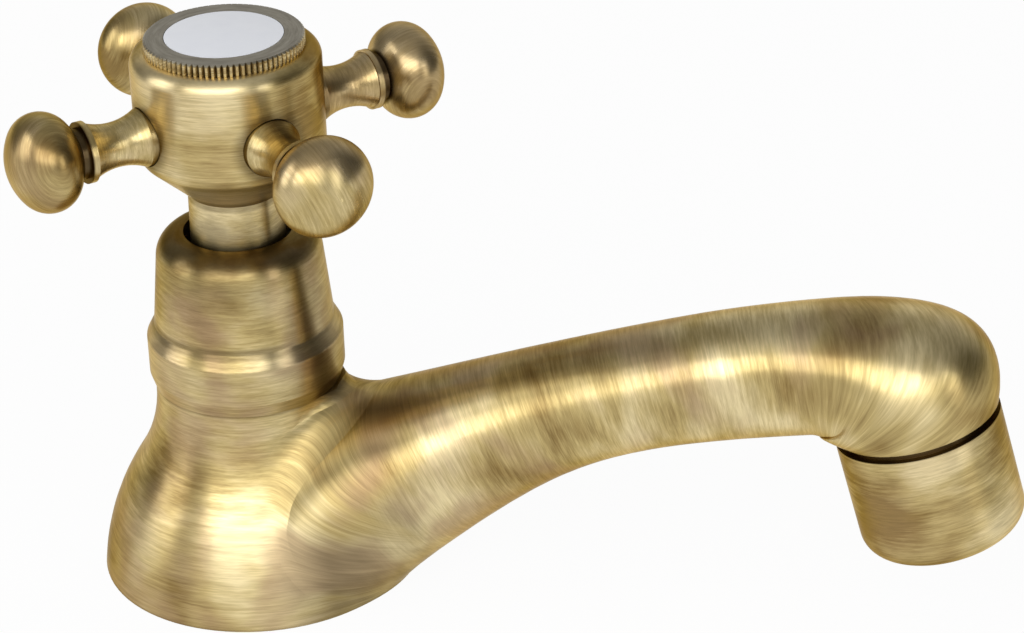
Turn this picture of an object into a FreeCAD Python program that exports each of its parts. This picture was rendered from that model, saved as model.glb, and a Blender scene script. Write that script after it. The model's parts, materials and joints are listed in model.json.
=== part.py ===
import FreeCAD, Part
import math
import os
import re

import Sketcher

# A deck-mounted pillar tap: a cast body with a long low spout, a bell-shaped shroud over a
# quarter-turn ceramic valve, a cross handle with four turned ball-ended arms and a porcelain
# index, and a screwed-in aerator. Millimetres, +Z up, origin on the valve axis at the deck,
# +X along the spout.

V = FreeCAD.Vector
doc = FreeCAD.newDocument("CrossHandleTap")

# ---------------------------------------------------------------- driving dimensions

SIZES = [
    # casting: the flared foot under the valve
    ("foot_radius", 27.1, "flare radius where it meets the deck"),
    ("seat_height", 35.2, "top of the casting, where the shroud stands"),
    ("crown_radius", 15.75, "flare radius at the top"),
    ("crown_upright", 1.2, "upright stretch of the flare under the shroud"),
    ("flare_upper_radius", 25.8, "hollow arc of the flare's profile"),
    ("flare_lower_radius", 44.7, "full arc of the flare's profile"),
    ("blend_radius", 5.0, "fillet between flare and spout"),
    ("run_on", 14.0, "how far the raw casting runs past its machined faces"),
    # casting: the spout, an arc that rises from the foot and turns down at the end
    ("spout_reach", 113.9, "valve axis to the centre of the outlet rim"),
    ("rim_height", 39.8, "deck to the centre of the outlet rim"),
    ("rim_radius", 13.7, "outside radius of the outlet rim"),
    ("outlet_tilt", 15.3, "lean of the outlet away from the foot, degrees"),
    ("spout_arc", 195.0, "radius of the spout's long arc"),
    ("root_across", -1.3, "valve axis to the arc's start inside the foot"),
    ("root_up", -0.81, "deck to the arc's start inside the foot"),
    ("crown_back", 16.9, "arc's end to outlet rim, along the reach"),
    ("crown_rise", 6.8, "arc's end above the outlet rim"),
    ("crown_heading", 9.5, "slope where the long arc ends, degrees"),
    ("waist_heading", 17.0, "slope at the thinnest section, degrees"),
    ("neck_heading", 23.0, "slope at the neck, degrees"),
    ("throat_heading", 30.0, "slope at the throat, degrees"),
    ("shoulder_heading", 36.0, "slope at the shoulder, degrees"),
    ("root_heading", 42.0, "slope at the root inside the foot, degrees"),
    ("knuckle_back", 6.8, "bend section to outlet rim, along the reach"),
    ("knuckle_rise", 7.8, "bend section above the outlet rim"),
    ("knuckle_heading", 33.0, "downward slope of the bend section, degrees"),
    ("knuckle_radius", 13.2, "outside radius of the bend section"),
    ("crown_section", 11.0, "spout radius where the long arc ends"),
    ("waist_section", 10.4, "spout radius at its thinnest"),
    ("neck_section", 11.0, "spout radius at the neck"),
    ("throat_depth", 14.3, "half height of the oval throat"),
    ("throat_drop", 0.7, "oval throat below the line of the long arc"),
    ("throat_width", 15.5, "half width of the oval throat"),
    ("shoulder_depth", 18.1, "half height of the oval shoulder"),
    ("shoulder_drop", 1.2, "oval shoulder below the line of the long arc"),
    ("shoulder_width", 21.0, "half width of the oval shoulder"),
    ("root_section", 17.0, "spout radius at the root inside the foot"),
    ("spout_wall", 3.0, "wall of the hollow spout"),
    ("knuckle_wall", 4.0, "wall at the bend"),
    ("throat_passage", 7.6, "waterway radius at the throat"),
    ("root_passage", 6.0, "waterway radius where it leaves the valve chamber"),
    ("root_passage_height", 18.2, "deck to the waterway's centre in the valve chamber"),
    # casting: machined bores
    ("thread_gap", 0.08, "radial clearance of screwed pieces"),
    ("headwork_thread", 10.48, "half inch pipe thread of the valve, outside radius"),
    ("headwork_thread_length", 10.0, "length of the valve thread in the casting"),
    ("thread_end_gap", 0.4, "end of a male thread to the end of its hole"),
    ("chamber_radius", 9.5, "valve chamber radius"),
    ("valve_seat_height", 11.0, "deck to the valve seat"),
    ("inlet_radius", 4.5, "supply hose hole, ten millimetre fine thread"),
    ("stud_hole_radius", 3.4, "fixing stud hole, eight millimetre thread"),
    ("stud_hole_depth", 10.5, "depth of the fixing stud hole from the deck"),
    ("stud_offset", 14.5, "valve axis to the fixing stud"),
    ("stud_boss_radius", 6.4, "boss round the fixing stud hole"),
    ("inlet_boss_radius", 8.2, "boss round the supply hose hole"),
    ("relief_radius", 19.0, "hollow of the foot, outside radius"),
    ("relief_depth", 6.5, "hollow of the foot, depth"),
    ("relief_round", 1.5, "rounding inside the hollow of the foot"),
    # deck gasket
    ("gasket_inner", 20.6, "deck gasket inside radius"),
    ("gasket_outer", 24.4, "deck gasket outside radius"),
    ("gasket_depth", 2.0, "deck gasket thickness"),
    ("gasket_gap", 0.1, "side clearance of the deck gasket in its groove"),
    # valve stack, from the seat upwards
    ("seal_height", 2.4, "seat seal height"),
    ("seal_inner", 5.2, "seat seal inside radius"),
    ("seal_outer", 7.7, "seat seal outside radius"),
    ("disc_height", 3.0, "thickness of each ceramic disc"),
    ("fixed_disc_radius", 7.8, "lower ceramic disc radius"),
    ("moving_disc_radius", 7.5, "upper ceramic disc radius"),
    ("port_radius", 2.1, "half width of the water ports in the discs"),
    ("port_offset", 4.6, "valve axis to each water port"),
    ("tongue_width", 2.4, "drive tongue width"),
    ("tongue_height", 1.0, "drive tongue height"),
    ("tongue_gap", 0.1, "side clearance of the drive tongue"),
    ("spindle_foot_radius", 7.3, "spindle foot radius"),
    ("spindle_foot_height", 3.0, "spindle foot height"),
    ("thrust_washer_height", 0.8, "thrust washer thickness"),
    # valve bonnet
    ("sleeve_radius", 8.9, "outside radius of the valve sleeve"),
    ("sleeve_bore", 7.9, "bore of the valve sleeve"),
    ("sleeve_seat_gap", 1.2, "valve seat to the end of the sleeve"),
    ("window_width", 7.0, "width of the sleeve's water windows"),
    ("window_height", 5.0, "height of the sleeve's water windows"),
    ("bonnet_gasket_height", 1.2, "washer between casting and bonnet"),
    ("bonnet_flange_radius", 12.6, "bonnet flange radius"),
    ("bonnet_flange_height", 2.0, "bonnet flange thickness"),
    ("hex_across_flats", 21.0, "spanner hexagon of the bonnet"),
    ("hex_height", 6.0, "height of the spanner hexagon"),
    ("shroud_thread", 10.5, "thread that holds the shroud, outside radius"),
    ("shroud_thread_length", 6.0, "length of that thread on the bonnet"),
    ("nose_radius", 8.2, "bonnet nose radius"),
    ("nose_height", 4.0, "bonnet nose height"),
    ("stop_wall_inner", 6.4, "inside radius of the bonnet's stop wall"),
    ("stop_wall_height", 2.2, "height of the bonnet's stop wall"),
    ("stop_wall_angle", 133.0, "arc of the bonnet's stop wall, degrees"),
    ("stop_lug_angle", 135.0, "arc of the stop washer's lug, degrees"),
    ("stop_margin", 1.0, "spare turn at each end of the handle's travel, degrees"),
    # spindle
    ("stem_radius", 5.5, "spindle stem radius"),
    ("stem_gap", 0.05, "running clearance of the stem in the bonnet"),
    ("spline_radius", 4.0, "spindle spline outside radius"),
    ("spline_depth", 0.45, "depth of the spline grooves"),
    ("spline_count", 20, "number of spline grooves"),
    ("spline_width", 0.6, "width of the spline grooves"),
    ("spline_length", 14.0, "length of the splines from the spindle's top"),
    ("spline_gap", 0.08, "clearance round the splines"),
    ("ring_groove_depth", 1.4, "depth of the sealing ring grooves"),
    ("ring_groove_width", 1.9, "width of the sealing ring grooves"),
    ("ring_section", 0.68, "section radius of the sealing rings"),
    ("lower_ring_height", 10.5, "foot of the spindle to the lower ring's centre"),
    ("ring_pitch", 5.0, "distance between the two rings"),
    ("stop_washer_height", 1.8, "stop washer thickness"),
    ("stop_washer_radius", 6.0, "stop washer radius"),
    ("stop_lug_radius", 8.0, "stop washer lug radius"),
    ("lug_root", 0.5, "how far the lug starts inside the washer"),
    ("axial_play", 0.1, "end clearance under the stop washer"),
    ("circlip_height", 0.9, "retaining ring thickness"),
    ("circlip_radius", 5.3, "retaining ring outside radius"),
    ("circlip_groove_radius", 3.3, "groove radius of the retaining ring"),
    ("circlip_gap", 0.05, "clearance of the retaining ring in its groove"),
    ("circlip_opening", 4.0, "opening of the retaining ring"),
    # shroud
    ("collar_radius", 16.6, "shroud collar radius"),
    ("collar_foot_radius", 15.9, "shroud radius at its foot"),
    ("collar_rise", 2.3, "height of the bevel under the collar"),
    ("collar_height", 8.6, "height of the collar"),
    ("collar_round", 0.8, "rounding over the collar"),
    ("step_round", 0.8, "rounding in the step above the collar"),
    ("step_height", 11.2, "shroud foot to the top of the step above the collar"),
    ("bell_foot_radius", 15.2, "bell radius above the step"),
    ("bell_top_radius", 13.6, "bell radius projected to the top"),
    ("shroud_height", 27.4, "overall height of the shroud"),
    ("bell_round", 4.3, "rounding of the bell's shoulder"),
    ("shroud_hole", 9.15, "hole that the handle's neck turns in"),
    ("shroud_bore", 13.6, "inside radius of the shroud's lower part"),
    ("shroud_upper_bore", 10.9, "inside radius of the shroud's upper part"),
    ("shroud_roof", 1.9, "thickness of the shroud's roof"),
    ("shroud_thread_start", 9.6, "shroud foot to its thread ring"),
    ("shroud_thread_ring", 5.0, "height of the shroud's thread ring"),
    ("collar_gap", 0.15, "clearance between collar and the spout's fillet"),
    # handle hub
    ("neck_bottom_height", 58.6, "deck to the foot of the handle's neck"),
    ("neck_gap", 1.4, "circlip to the foot of the handle's neck"),
    ("neck_radius", 8.05, "neck radius"),
    ("neck_waist_radius", 7.85, "neck radius under the hub"),
    ("neck_height", 11.4, "hub's base to the top of the neck"),
    ("bead_radius", 9.4, "radius of the bead between neck and hub"),
    ("bead_height", 1.6, "height of the bead"),
    ("hub_radius", 15.7, "hub radius"),
    ("hub_knee_radius", 14.9, "radius at the corner under the hub"),
    ("hub_knee_height", 18.1, "hub's base to the corner under the hub"),
    ("hub_side_start", 19.6, "hub's base to the hub's upright side"),
    ("hub_under_round", 2.2, "rounding of the corner under the hub"),
    ("bead_round", 0.5, "rounding of the bead"),
    ("hub_height", 36.8, "hub's base to the top of the hub"),
    ("hub_top_round", 2.4, "rounding over the hub"),
    ("web_height", 2.0, "thickness of the web under the handle screw"),
    ("web_bottom", 26.8, "hub's base to the web"),
    ("screw_well_radius", 7.2, "well round the handle screw"),
    ("cap_thread", 10.5, "thread of the index ring, outside radius"),
    ("cap_thread_depth", 4.6, "depth of that thread"),
    ("cap_well_depth", 5.0, "depth of the threaded well in the hub"),
    # arms
    ("arm_height", 83.1, "deck to the arms' axis"),
    ("arm_rise", 24.5, "hub's base, from which its heights run, to the arms' axis"),
    ("arm_clocking", 45.0, "first arm's angle from the spout, degrees"),
    ("spigot_start", 9.6, "valve axis to the arm's inner end"),
    ("spigot_radius", 2.9, "radius of the arm's screwed spigot"),
    ("arm_seat", 14.9, "valve axis to the arm's seat on the hub"),
    ("arm_root_radius", 4.85, "arm radius at the hub"),
    ("arm_root_end", 16.0, "valve axis to the end of the arm's root"),
    ("arm_seat_gap", 0.12, "clearance round the arm in its spot face"),
    ("arm_waist_position", 20.3, "valve axis to the arm's waist"),
    ("arm_waist_radius", 3.7, "arm radius at its waist"),
    ("arm_neck_radius", 4.8, "arm radius where it meets the collar"),
    ("arm_collar_start", 25.4, "valve axis to the arm's collar"),
    ("arm_collar_end", 26.5, "valve axis to the collar's outer face"),
    ("arm_collar_radius", 5.1, "arm radius at its collar"),
    ("arm_groove_radius", 4.25, "arm radius in the groove beside the ball"),
    ("ball_position", 32.85, "valve axis to the ball's centre"),
    ("ball_radius", 8.26, "ball radius across the arm"),
    ("ball_half_length", 6.1, "ball radius along the arm"),
    ("ball_rim_radius", 5.0, "radius of the ball's rounded rim"),
    # screw, washer, index
    ("screw_head_radius", 4.3, "handle screw head radius"),
    ("screw_head_height", 2.6, "handle screw head height"),
    ("screw_head_round", 0.7, "rounding of the handle screw's head"),
    ("screw_radius", 2.4, "handle screw thread radius"),
    ("screw_length", 12.0, "handle screw length under the head"),
    ("screw_slot_width", 1.2, "screw slot width"),
    ("screw_slot_depth", 1.3, "screw slot depth"),
    ("screw_clearance", 0.3, "clearance round the screw in washer and web"),
    ("screw_hole_spare", 2.0, "screw hole beyond the screw's end"),
    ("washer_radius", 5.4, "screw washer radius"),
    ("washer_height", 1.0, "screw washer thickness"),
    ("ring_radius", 13.15, "index ring radius"),
    ("ring_height", 2.0, "index ring height above the hub"),
    ("ring_bevel", 0.3, "bevel of the index ring's top edge"),
    ("ring_bore", 7.6, "hole through the index ring"),
    ("ring_recess_depth", 1.6, "recess that holds the index disc"),
    ("knurl_count", 84, "teeth round the index ring"),
    ("knurl_depth", 0.45, "depth of the knurl"),
    ("knurl_share", 0.62, "share of each pitch cut away"),
    ("disc_radius", 9.72, "index disc radius"),
    ("index_gap", 0.1, "clearance round the index disc"),
    ("index_height", 1.6, "index disc thickness at its edge"),
    ("index_dome", 0.35, "rise of the index disc's crown"),
    # aerator
    ("aerator_thread", 11.9, "aerator thread outside radius, twenty-four millimetre fine"),
    ("aerator_thread_length", 4.6, "length of the aerator thread"),
    ("aerator_gasket_height", 1.4, "aerator gasket thickness"),
    ("aerator_gasket_inner", 9.4, "aerator gasket inside radius"),
    ("outlet_passage", 9.4, "waterway radius at the outlet"),
    ("shell_groove_radius", 12.5, "radius of the groove under the outlet rim"),
    ("shell_groove_width", 1.3, "width of that groove"),
    ("shell_length", 22.0, "outlet rim to the aerator's mouth"),
    ("shell_mouth_radius", 13.7, "shell radius at the mouth"),
    ("shell_round", 3.6, "rounding of the mouth"),
    ("shell_bore", 11.0, "shell bore"),
    ("shell_lip", 2.4, "thickness of the shell's lip"),
    ("shell_lip_radius", 9.5, "opening in the shell's lip"),
    ("insert_gap", 0.12, "clearance of the insert in the shell"),
    ("diffuser_height", 1.4, "diffuser plate thickness"),
    ("diffuser_hole", 0.8, "diffuser hole radius"),
    ("diffuser_ring", 6.4, "radius of the diffuser's ring of holes"),
    ("diffuser_count", 12, "holes in the diffuser"),
    ("insert_wall", 1.5, "wall of the insert housing"),
    ("insert_step", 1.0, "width of the ledge inside the insert housing"),
    ("grid_height", 1.6, "outlet grid thickness"),
    ("grid_cell", 1.65, "outlet grid cell, half across flats"),
    ("grid_pitch", 3.8, "distance between the grid's cells"),
]

sheet = doc.addObject("Spreadsheet::Sheet", "Sizes")
for row, (alias, number, note) in enumerate(SIZES, start=1):
    sheet.set(f"A{row}", note)
    sheet.set(f"B{row}", str(number))
    sheet.setAlias(f"B{row}", alias)
doc.recompute()

ALIASES = {alias for alias, number, note in SIZES}
FUNCTIONS = {"sin", "cos", "tan", "sqrt"}


def linked(formula):
    """The formula with every size name pointing at its cell."""

    def link(match):
        word = match.group(0)
        if word in ALIASES:
            return f"Sizes.{word}"
        if word in FUNCTIONS:
            return word
        raise ValueError(f"{word} is not a size")

    return re.sub(r"[A-Za-z_]\w*", link, formula)


def value(formula):
    """The number that a formula of sizes gives now."""
    result = sheet.evalExpression(linked(formula))
    return float(getattr(result, "Value", result))


# ---------------------------------------------------------------- shared modelling steps

START, END, CENTRE = range(1, 4)
ORIGIN = X_AXIS = -START
Y_AXIS = -END
parts = []


def new_body(label):
    body = doc.addObject("PartDesign::Body", label)
    body.Label = label
    parts.append(body)
    return body


def origin_feature(body, role):
    return next(item for item in body.Origin.OriginFeatures if item.Role == role)


def bind(item, path, formula):
    item.setExpression(path, linked(formula))


def place(body, height, turn=None):
    """Stand the piece at a height on the valve axis, turned about it if an angle is given."""
    bind(body, "Placement.Base.z", height)
    if turn is not None:
        body.Placement.Rotation = FreeCAD.Rotation(V(0, 0, 1), value(turn))
        bind(body, "Placement.Rotation.Angle", turn)


def new_sketch(body, name, role="XY_Plane", height=None):
    sketch = body.newObject("Sketcher::SketchObject", name)
    sketch.AttachmentSupport = [(origin_feature(body, role), "")]
    sketch.MapMode = "FlatFace"
    if height is not None:
        bind(sketch, "AttachmentOffset.Base.z", height)
    return sketch


def drive(sketch, kind, targets, formula):
    """A dimension whose value is a formula of sizes."""
    index = sketch.addConstraint(Sketcher.Constraint(kind, *targets, value(formula)))
    bind(sketch, f"Constraints[{index}]", formula)


def fix_point(sketch, geometry, position, across, up):
    """Hold one sketch point at formulas of sizes from the sketch origin."""
    for kind, axis, formula in (("DistanceX", Y_AXIS, across), ("DistanceY", X_AXIS, up)):
        if formula == "0":
            sketch.addConstraint(Sketcher.Constraint("PointOnObject", geometry, position, axis))
        elif value(formula) < 0:
            drive(sketch, kind, (geometry, position, ORIGIN, START), f"-({formula})")
        else:
            drive(sketch, kind, (ORIGIN, START, geometry, position), formula)


def circle(sketch, radius, across="0", up="0"):
    centre = V(value(across), value(up), 0)
    index = sketch.addGeometry(Part.Circle(centre, V(0, 0, 1), value(radius)), False)
    if (across, up) == ("0", "0"):
        sketch.addConstraint(Sketcher.Constraint("Coincident", index, CENTRE, ORIGIN, START))
    else:
        fix_point(sketch, index, CENTRE, across, up)
    drive(sketch, "Radius", (index,), radius)


def unit(vector):
    return V(vector).multiply(1.0 / vector.Length)


def outline(sketch, corners):
    """A closed outline through corners (across, up) or (across, up, rounding)."""
    points = [V(value(corner[0]), value(corner[1]), 0) for corner in corners]
    rounding = [value(corner[2]) if len(corner) > 2 else 0.0 for corner in corners]
    count = len(corners)
    entry, leave = [], []
    for i, point in enumerate(points):
        back = unit(points[i - 1] - point)
        ahead = unit(points[(i + 1) % count] - point)
        reach = 0.0
        if rounding[i]:
            half_angle = back.getAngle(ahead) / 2
            reach = rounding[i] / math.tan(half_angle)
        entry.append(point + back * reach)
        leave.append(point + ahead * reach)
    lines = []
    for i in range(count):
        side = Part.LineSegment(leave[i], entry[(i + 1) % count])
        lines.append(sketch.addGeometry(side, False))
    for i, corner in enumerate(corners):
        before, after = lines[i - 1], lines[i]
        if not rounding[i]:
            sketch.addConstraint(Sketcher.Constraint("Coincident", before, END, after, START))
            fix_point(sketch, after, START, corner[0], corner[1])
            continue
        inward = unit(unit(points[i - 1] - points[i]) + unit(points[(i + 1) % count] - points[i]))
        half_angle = (points[i - 1] - points[i]).getAngle(points[(i + 1) % count] - points[i]) / 2
        middle = points[i] + inward * (rounding[i] / math.sin(half_angle) - rounding[i])
        arc = Part.Arc(entry[i], middle, leave[i])
        bend = sketch.addGeometry(arc, False)
        starts_first = sketch.getPoint(bend, START).isEqual(entry[i], 1e-6)
        first, last = (START, END) if starts_first else (END, START)
        sketch.addConstraint(Sketcher.Constraint("Tangent", before, END, bend, first))
        sketch.addConstraint(Sketcher.Constraint("Tangent", bend, last, after, START))
        drive(sketch, "Radius", (bend,), corner[2])
        corner_point = sketch.addGeometry(Part.Point(points[i]), True)
        sketch.addConstraint(Sketcher.Constraint("PointOnObject", corner_point, START, before))
        sketch.addConstraint(Sketcher.Constraint("PointOnObject", corner_point, START, after))
        fix_point(sketch, corner_point, START, corner[0], corner[1])


def revolve(body, kind, name, sketch, axis="V_Axis"):
    feature = body.newObject(f"PartDesign::{kind}", name)
    feature.Profile = sketch
    feature.ReferenceAxis = (sketch, [axis])
    feature.Angle = 360
    return feature


def turned(label, corners, height="0"):
    """A piece turned on the valve axis from one half section."""
    body = new_body(label)
    sketch = new_sketch(body, f"{label}_section", "XZ_Plane")
    outline(sketch, corners)
    revolve(body, "Revolution", f"{label}_turning", sketch)
    place(body, height)
    return body


def bored(body, name, corners):
    """A stepped bore cut on the piece's own axis."""
    sketch = new_sketch(body, f"{name}_section", "XZ_Plane")
    outline(sketch, corners)
    return revolve(body, "Groove", name, sketch)


def extrude(body, kind, name, sketch, length, upward):
    feature = body.newObject(f"PartDesign::{kind}", name)
    feature.Profile = sketch
    bind(feature, "Length", length)
    default_up = kind == "Pad"
    feature.Reversed = upward != default_up
    return feature


def around(body, name, feature, sketch, count):
    """Copies of a feature round the sketch's normal."""
    pattern = body.newObject("PartDesign::PolarPattern", name)
    pattern.Originals = [feature]
    pattern.Axis = (sketch, ["N_Axis"])
    pattern.Angle = 360
    bind(pattern, "Occurrences", count)
    body.Tip = pattern
    return pattern


def sector(sketch, inner, outer, angle):
    """A ring sector that starts at the sketch's first axis and runs for the angle."""
    sweep = math.radians(value(angle))
    start = V(1, 0, 0)
    stop = V(math.cos(sweep), math.sin(sweep), 0)
    rims = []
    for radius in (inner, outer):
        circle_line = Part.Circle(V(), V(0, 0, 1), value(radius))
        rim = sketch.addGeometry(Part.ArcOfCircle(circle_line, 0, sweep), False)
        sketch.addConstraint(Sketcher.Constraint("Coincident", rim, CENTRE, ORIGIN, START))
        drive(sketch, "Radius", (rim,), radius)
        rims.append(rim)
    sides = []
    for direction, end in ((start, START), (stop, END)):
        side = Part.LineSegment(direction * value(inner), direction * value(outer))
        index = sketch.addGeometry(side, False)
        sketch.addConstraint(Sketcher.Constraint("Coincident", index, START, rims[0], end))
        sketch.addConstraint(Sketcher.Constraint("Coincident", index, END, rims[1], end))
        sketch.addConstraint(Sketcher.Constraint("PointOnObject", ORIGIN, START, index))
        sides.append(index)
    sketch.addConstraint(Sketcher.Constraint("PointOnObject", rims[0], START, X_AXIS))
    swept = sketch.addConstraint(Sketcher.Constraint("Angle", rims[1], sweep))
    bind(sketch, f"Constraints[{swept}]", angle)


def rectangle(sketch, low_across, low_up, high_across, high_up):
    outline(
        sketch,
        [
            (low_across, low_up),
            (high_across, low_up),
            (high_across, high_up),
            (low_across, high_up),
        ],
    )


# ---------------------------------------------------------------- cast body


def spout_section(body, name, across, up, heading, width, depth, inset="0"):
    """One round or oval section square to the spout, at a heading above the level."""
    sketch = body.newObject("Sketcher::SketchObject", name)
    sketch.AttachmentSupport = [(origin_feature(body, "YZ_Plane"), "")]
    sketch.MapMode = "FlatFace"
    turn = FreeCAD.Rotation(V(1, 0, 0), -value(heading))
    sketch.AttachmentOffset = FreeCAD.Placement(V(0, value(up), value(across)), turn)
    bind(sketch, "AttachmentOffset.Base.y", up)
    bind(sketch, "AttachmentOffset.Base.z", across)
    bind(sketch, "AttachmentOffset.Rotation.Angle", f"-({heading})")
    if width == depth:
        circle(sketch, f"{depth} - {inset}" if inset != "0" else depth)
        return sketch
    oval = Part.Ellipse(V(value(width), 0, 0), V(0, value(depth), 0), V())
    index = sketch.addGeometry(oval, False)
    sketch.exposeInternalGeometry(index)
    long_axis, short_axis = index + 1, index + 2
    sketch.addConstraint(Sketcher.Constraint("Coincident", index, CENTRE, ORIGIN, START))
    sketch.addConstraint(Sketcher.Constraint("Horizontal", long_axis))
    drive(sketch, "Distance", (long_axis,), f"2 * ({width})")
    drive(sketch, "Distance", (short_axis,), f"2 * ({depth})")
    return sketch


def on_long_arc(heading, drop="0"):
    """Across and up where the spout's long arc has this heading, less a drop.

    The arc starts at the root inside the foot and is stretched to end at the crown.
    """
    share = f"((sin(root_heading) - sin({heading})) / (sin(root_heading) - sin(crown_heading)))"
    across = f"root_across + {share} * (spout_reach - crown_back - root_across)"
    rise = f"spout_arc * (cos({heading}) - cos(root_heading))"
    full_rise = "spout_arc * (cos(crown_heading) - cos(root_heading))"
    stretch = f"{share} * (rim_height + crown_rise - root_up - {full_rise})"
    return across, f"root_up + {rise} + {stretch} - {drop}"


RIM_HEADING = "outlet_tilt - 90"
RIM = ("spout_reach", "rim_height", RIM_HEADING)
KNUCKLE = ("spout_reach - knuckle_back", "rim_height + knuckle_rise", "-knuckle_heading")


def raw_flare(body):
    """The turned foot: a full arc runs into a hollow arc that ends upright under the shroud."""
    sketch = new_sketch(body, "flare_section", "XZ_Plane")
    crown, foot = value("crown_radius"), value("foot_radius")
    upper, lower = value("flare_upper_radius"), value("flare_lower_radius")
    run_on = value("run_on")
    top = value("seat_height - crown_upright")
    hollow = V(crown + upper, top, 0)
    # the full arc's centre lies both radii from the hollow arc's and one radius from the foot
    span = hollow - V(foot, 0, 0)
    along = (span.Length**2 + lower**2 - (upper + lower) ** 2) / (2 * span.Length)
    off = math.sqrt(lower**2 - along**2)
    full = V(foot, 0, 0) + unit(span) * along + V(-span.y, span.x, 0) * (off / span.Length)
    joint = hollow + unit(full - hollow) * upper
    low = V(full.x + math.sqrt(lower**2 - (run_on + full.y) ** 2), -run_on, 0)
    high = value("seat_height") + run_on
    points = [V(0, -run_on, 0), low, joint, V(crown, top, 0), V(crown, high, 0), V(0, high, 0)]
    floor_line = sketch.addGeometry(Part.LineSegment(points[0], points[1]), False)
    full_middle = full + unit((low + joint) * 0.5 - full) * lower
    full_arc = sketch.addGeometry(Part.Arc(low, full_middle, joint), False)
    hollow_middle = hollow + unit((joint + points[3]) * 0.5 - hollow) * upper
    hollow_arc = sketch.addGeometry(Part.Arc(joint, hollow_middle, points[3]), False)
    wall = sketch.addGeometry(Part.LineSegment(points[3], points[4]), False)
    roof = sketch.addGeometry(Part.LineSegment(points[4], points[5]), False)
    axis = sketch.addGeometry(Part.LineSegment(points[5], points[0]), False)
    full_ends = (START, END) if sketch.getPoint(full_arc, START).isEqual(low, 1e-6) else (END, START)
    at_joint = sketch.getPoint(hollow_arc, START).isEqual(joint, 1e-6)
    hollow_ends = (START, END) if at_joint else (END, START)
    rules = [
        Sketcher.Constraint("Coincident", floor_line, END, full_arc, full_ends[0]),
        Sketcher.Constraint("Tangent", full_arc, full_ends[1], hollow_arc, hollow_ends[0]),
        Sketcher.Constraint("Tangent", hollow_arc, hollow_ends[1], wall, START),
        Sketcher.Constraint("Coincident", wall, END, roof, START),
        Sketcher.Constraint("Coincident", roof, END, axis, START),
        Sketcher.Constraint("Coincident", axis, END, floor_line, START),
        Sketcher.Constraint("Horizontal", floor_line),
        Sketcher.Constraint("Vertical", wall),
        Sketcher.Constraint("Horizontal", roof),
        Sketcher.Constraint("PointOnObject", axis, START, Y_AXIS),
        Sketcher.Constraint("PointOnObject", axis, END, Y_AXIS),
    ]
    sketch.addConstraint(rules)
    foot_point = sketch.addGeometry(Part.Point(V(foot, 0, 0)), True)
    sketch.addConstraint(Sketcher.Constraint("PointOnObject", foot_point, START, full_arc))
    fix_point(sketch, foot_point, START, "foot_radius", "0")
    drive(sketch, "Radius", (full_arc,), "flare_lower_radius")
    drive(sketch, "Radius", (hollow_arc,), "flare_upper_radius")
    fix_point(sketch, wall, START, "crown_radius", "seat_height - crown_upright")
    drive(sketch, "DistanceY", (ORIGIN, START, roof, START), "seat_height + run_on")
    drive(sketch, "DistanceY", (floor_line, START, ORIGIN, START), "run_on")
    return revolve(body, "Revolution", "flare", sketch)


def raw_spout(body):
    """The spout's skin, lofted through ovals and circles from inside the foot to the rim."""
    root = on_long_arc("root_heading")
    shoulder = on_long_arc("shoulder_heading", "shoulder_drop")
    throat = on_long_arc("throat_heading", "throat_drop")
    neck = on_long_arc("neck_heading")
    waist = on_long_arc("waist_heading")
    crown = on_long_arc("crown_heading")
    stations = [
        ("root", *root, "root_heading", "root_section", "root_section"),
        ("shoulder", *shoulder, "shoulder_heading", "shoulder_width", "shoulder_depth"),
        ("throat", *throat, "throat_heading", "throat_width", "throat_depth"),
        ("neck", *neck, "neck_heading", "neck_section", "neck_section"),
        ("waist", *waist, "waist_heading", "waist_section", "waist_section"),
        ("crown", *crown, "crown_heading", "crown_section", "crown_section"),
        ("knuckle", *KNUCKLE, "knuckle_radius", "knuckle_radius"),
        ("rim", *RIM, "rim_radius", "rim_radius"),
    ]
    sketches = [spout_section(body, f"{row[0]}_skin", *row[1:]) for row in stations]
    doc.recompute()
    loft = body.newObject("PartDesign::AdditiveLoft", "spout")
    loft.Profile = sketches[0]
    loft.Sections = sketches[1:]
    return loft


def blend(body, spout):
    """Fillet every edge where the spout's skin meets the turned foot."""
    doc.recompute()
    shape = spout.Shape
    names = []
    for number, edge in enumerate(shape.Edges, start=1):
        faces = shape.ancestorsOfType(edge, Part.Face)
        kinds = {type(face.Surface).__name__ for face in faces}
        is_seam = "BSplineSurface" in kinds and kinds & {"Toroid", "SurfaceOfRevolution", "Cylinder"}
        if is_seam and edge.BoundBox.XMax < value("spout_reach") / 2:
            names.append(f"Edge{number}")
    fillet = body.newObject("PartDesign::Fillet", "junction_fillet")
    fillet.Base = (spout, names)
    bind(fillet, "Radius", "blend_radius")
    return fillet


def face_off(body):
    """Machine the raw casting flat at the deck and round the shroud's seat."""
    below = new_sketch(body, "deck_cut_outline")
    circle(below, "spout_reach")
    extrude(body, "Pocket", "deck_cut", below, "2 * run_on", False)
    above = new_sketch(body, "seat_cut_outline", height="seat_height")
    circle(above, "collar_radius + collar_gap")
    extrude(body, "Pocket", "seat_cut", above, "2 * run_on", True)


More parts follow.
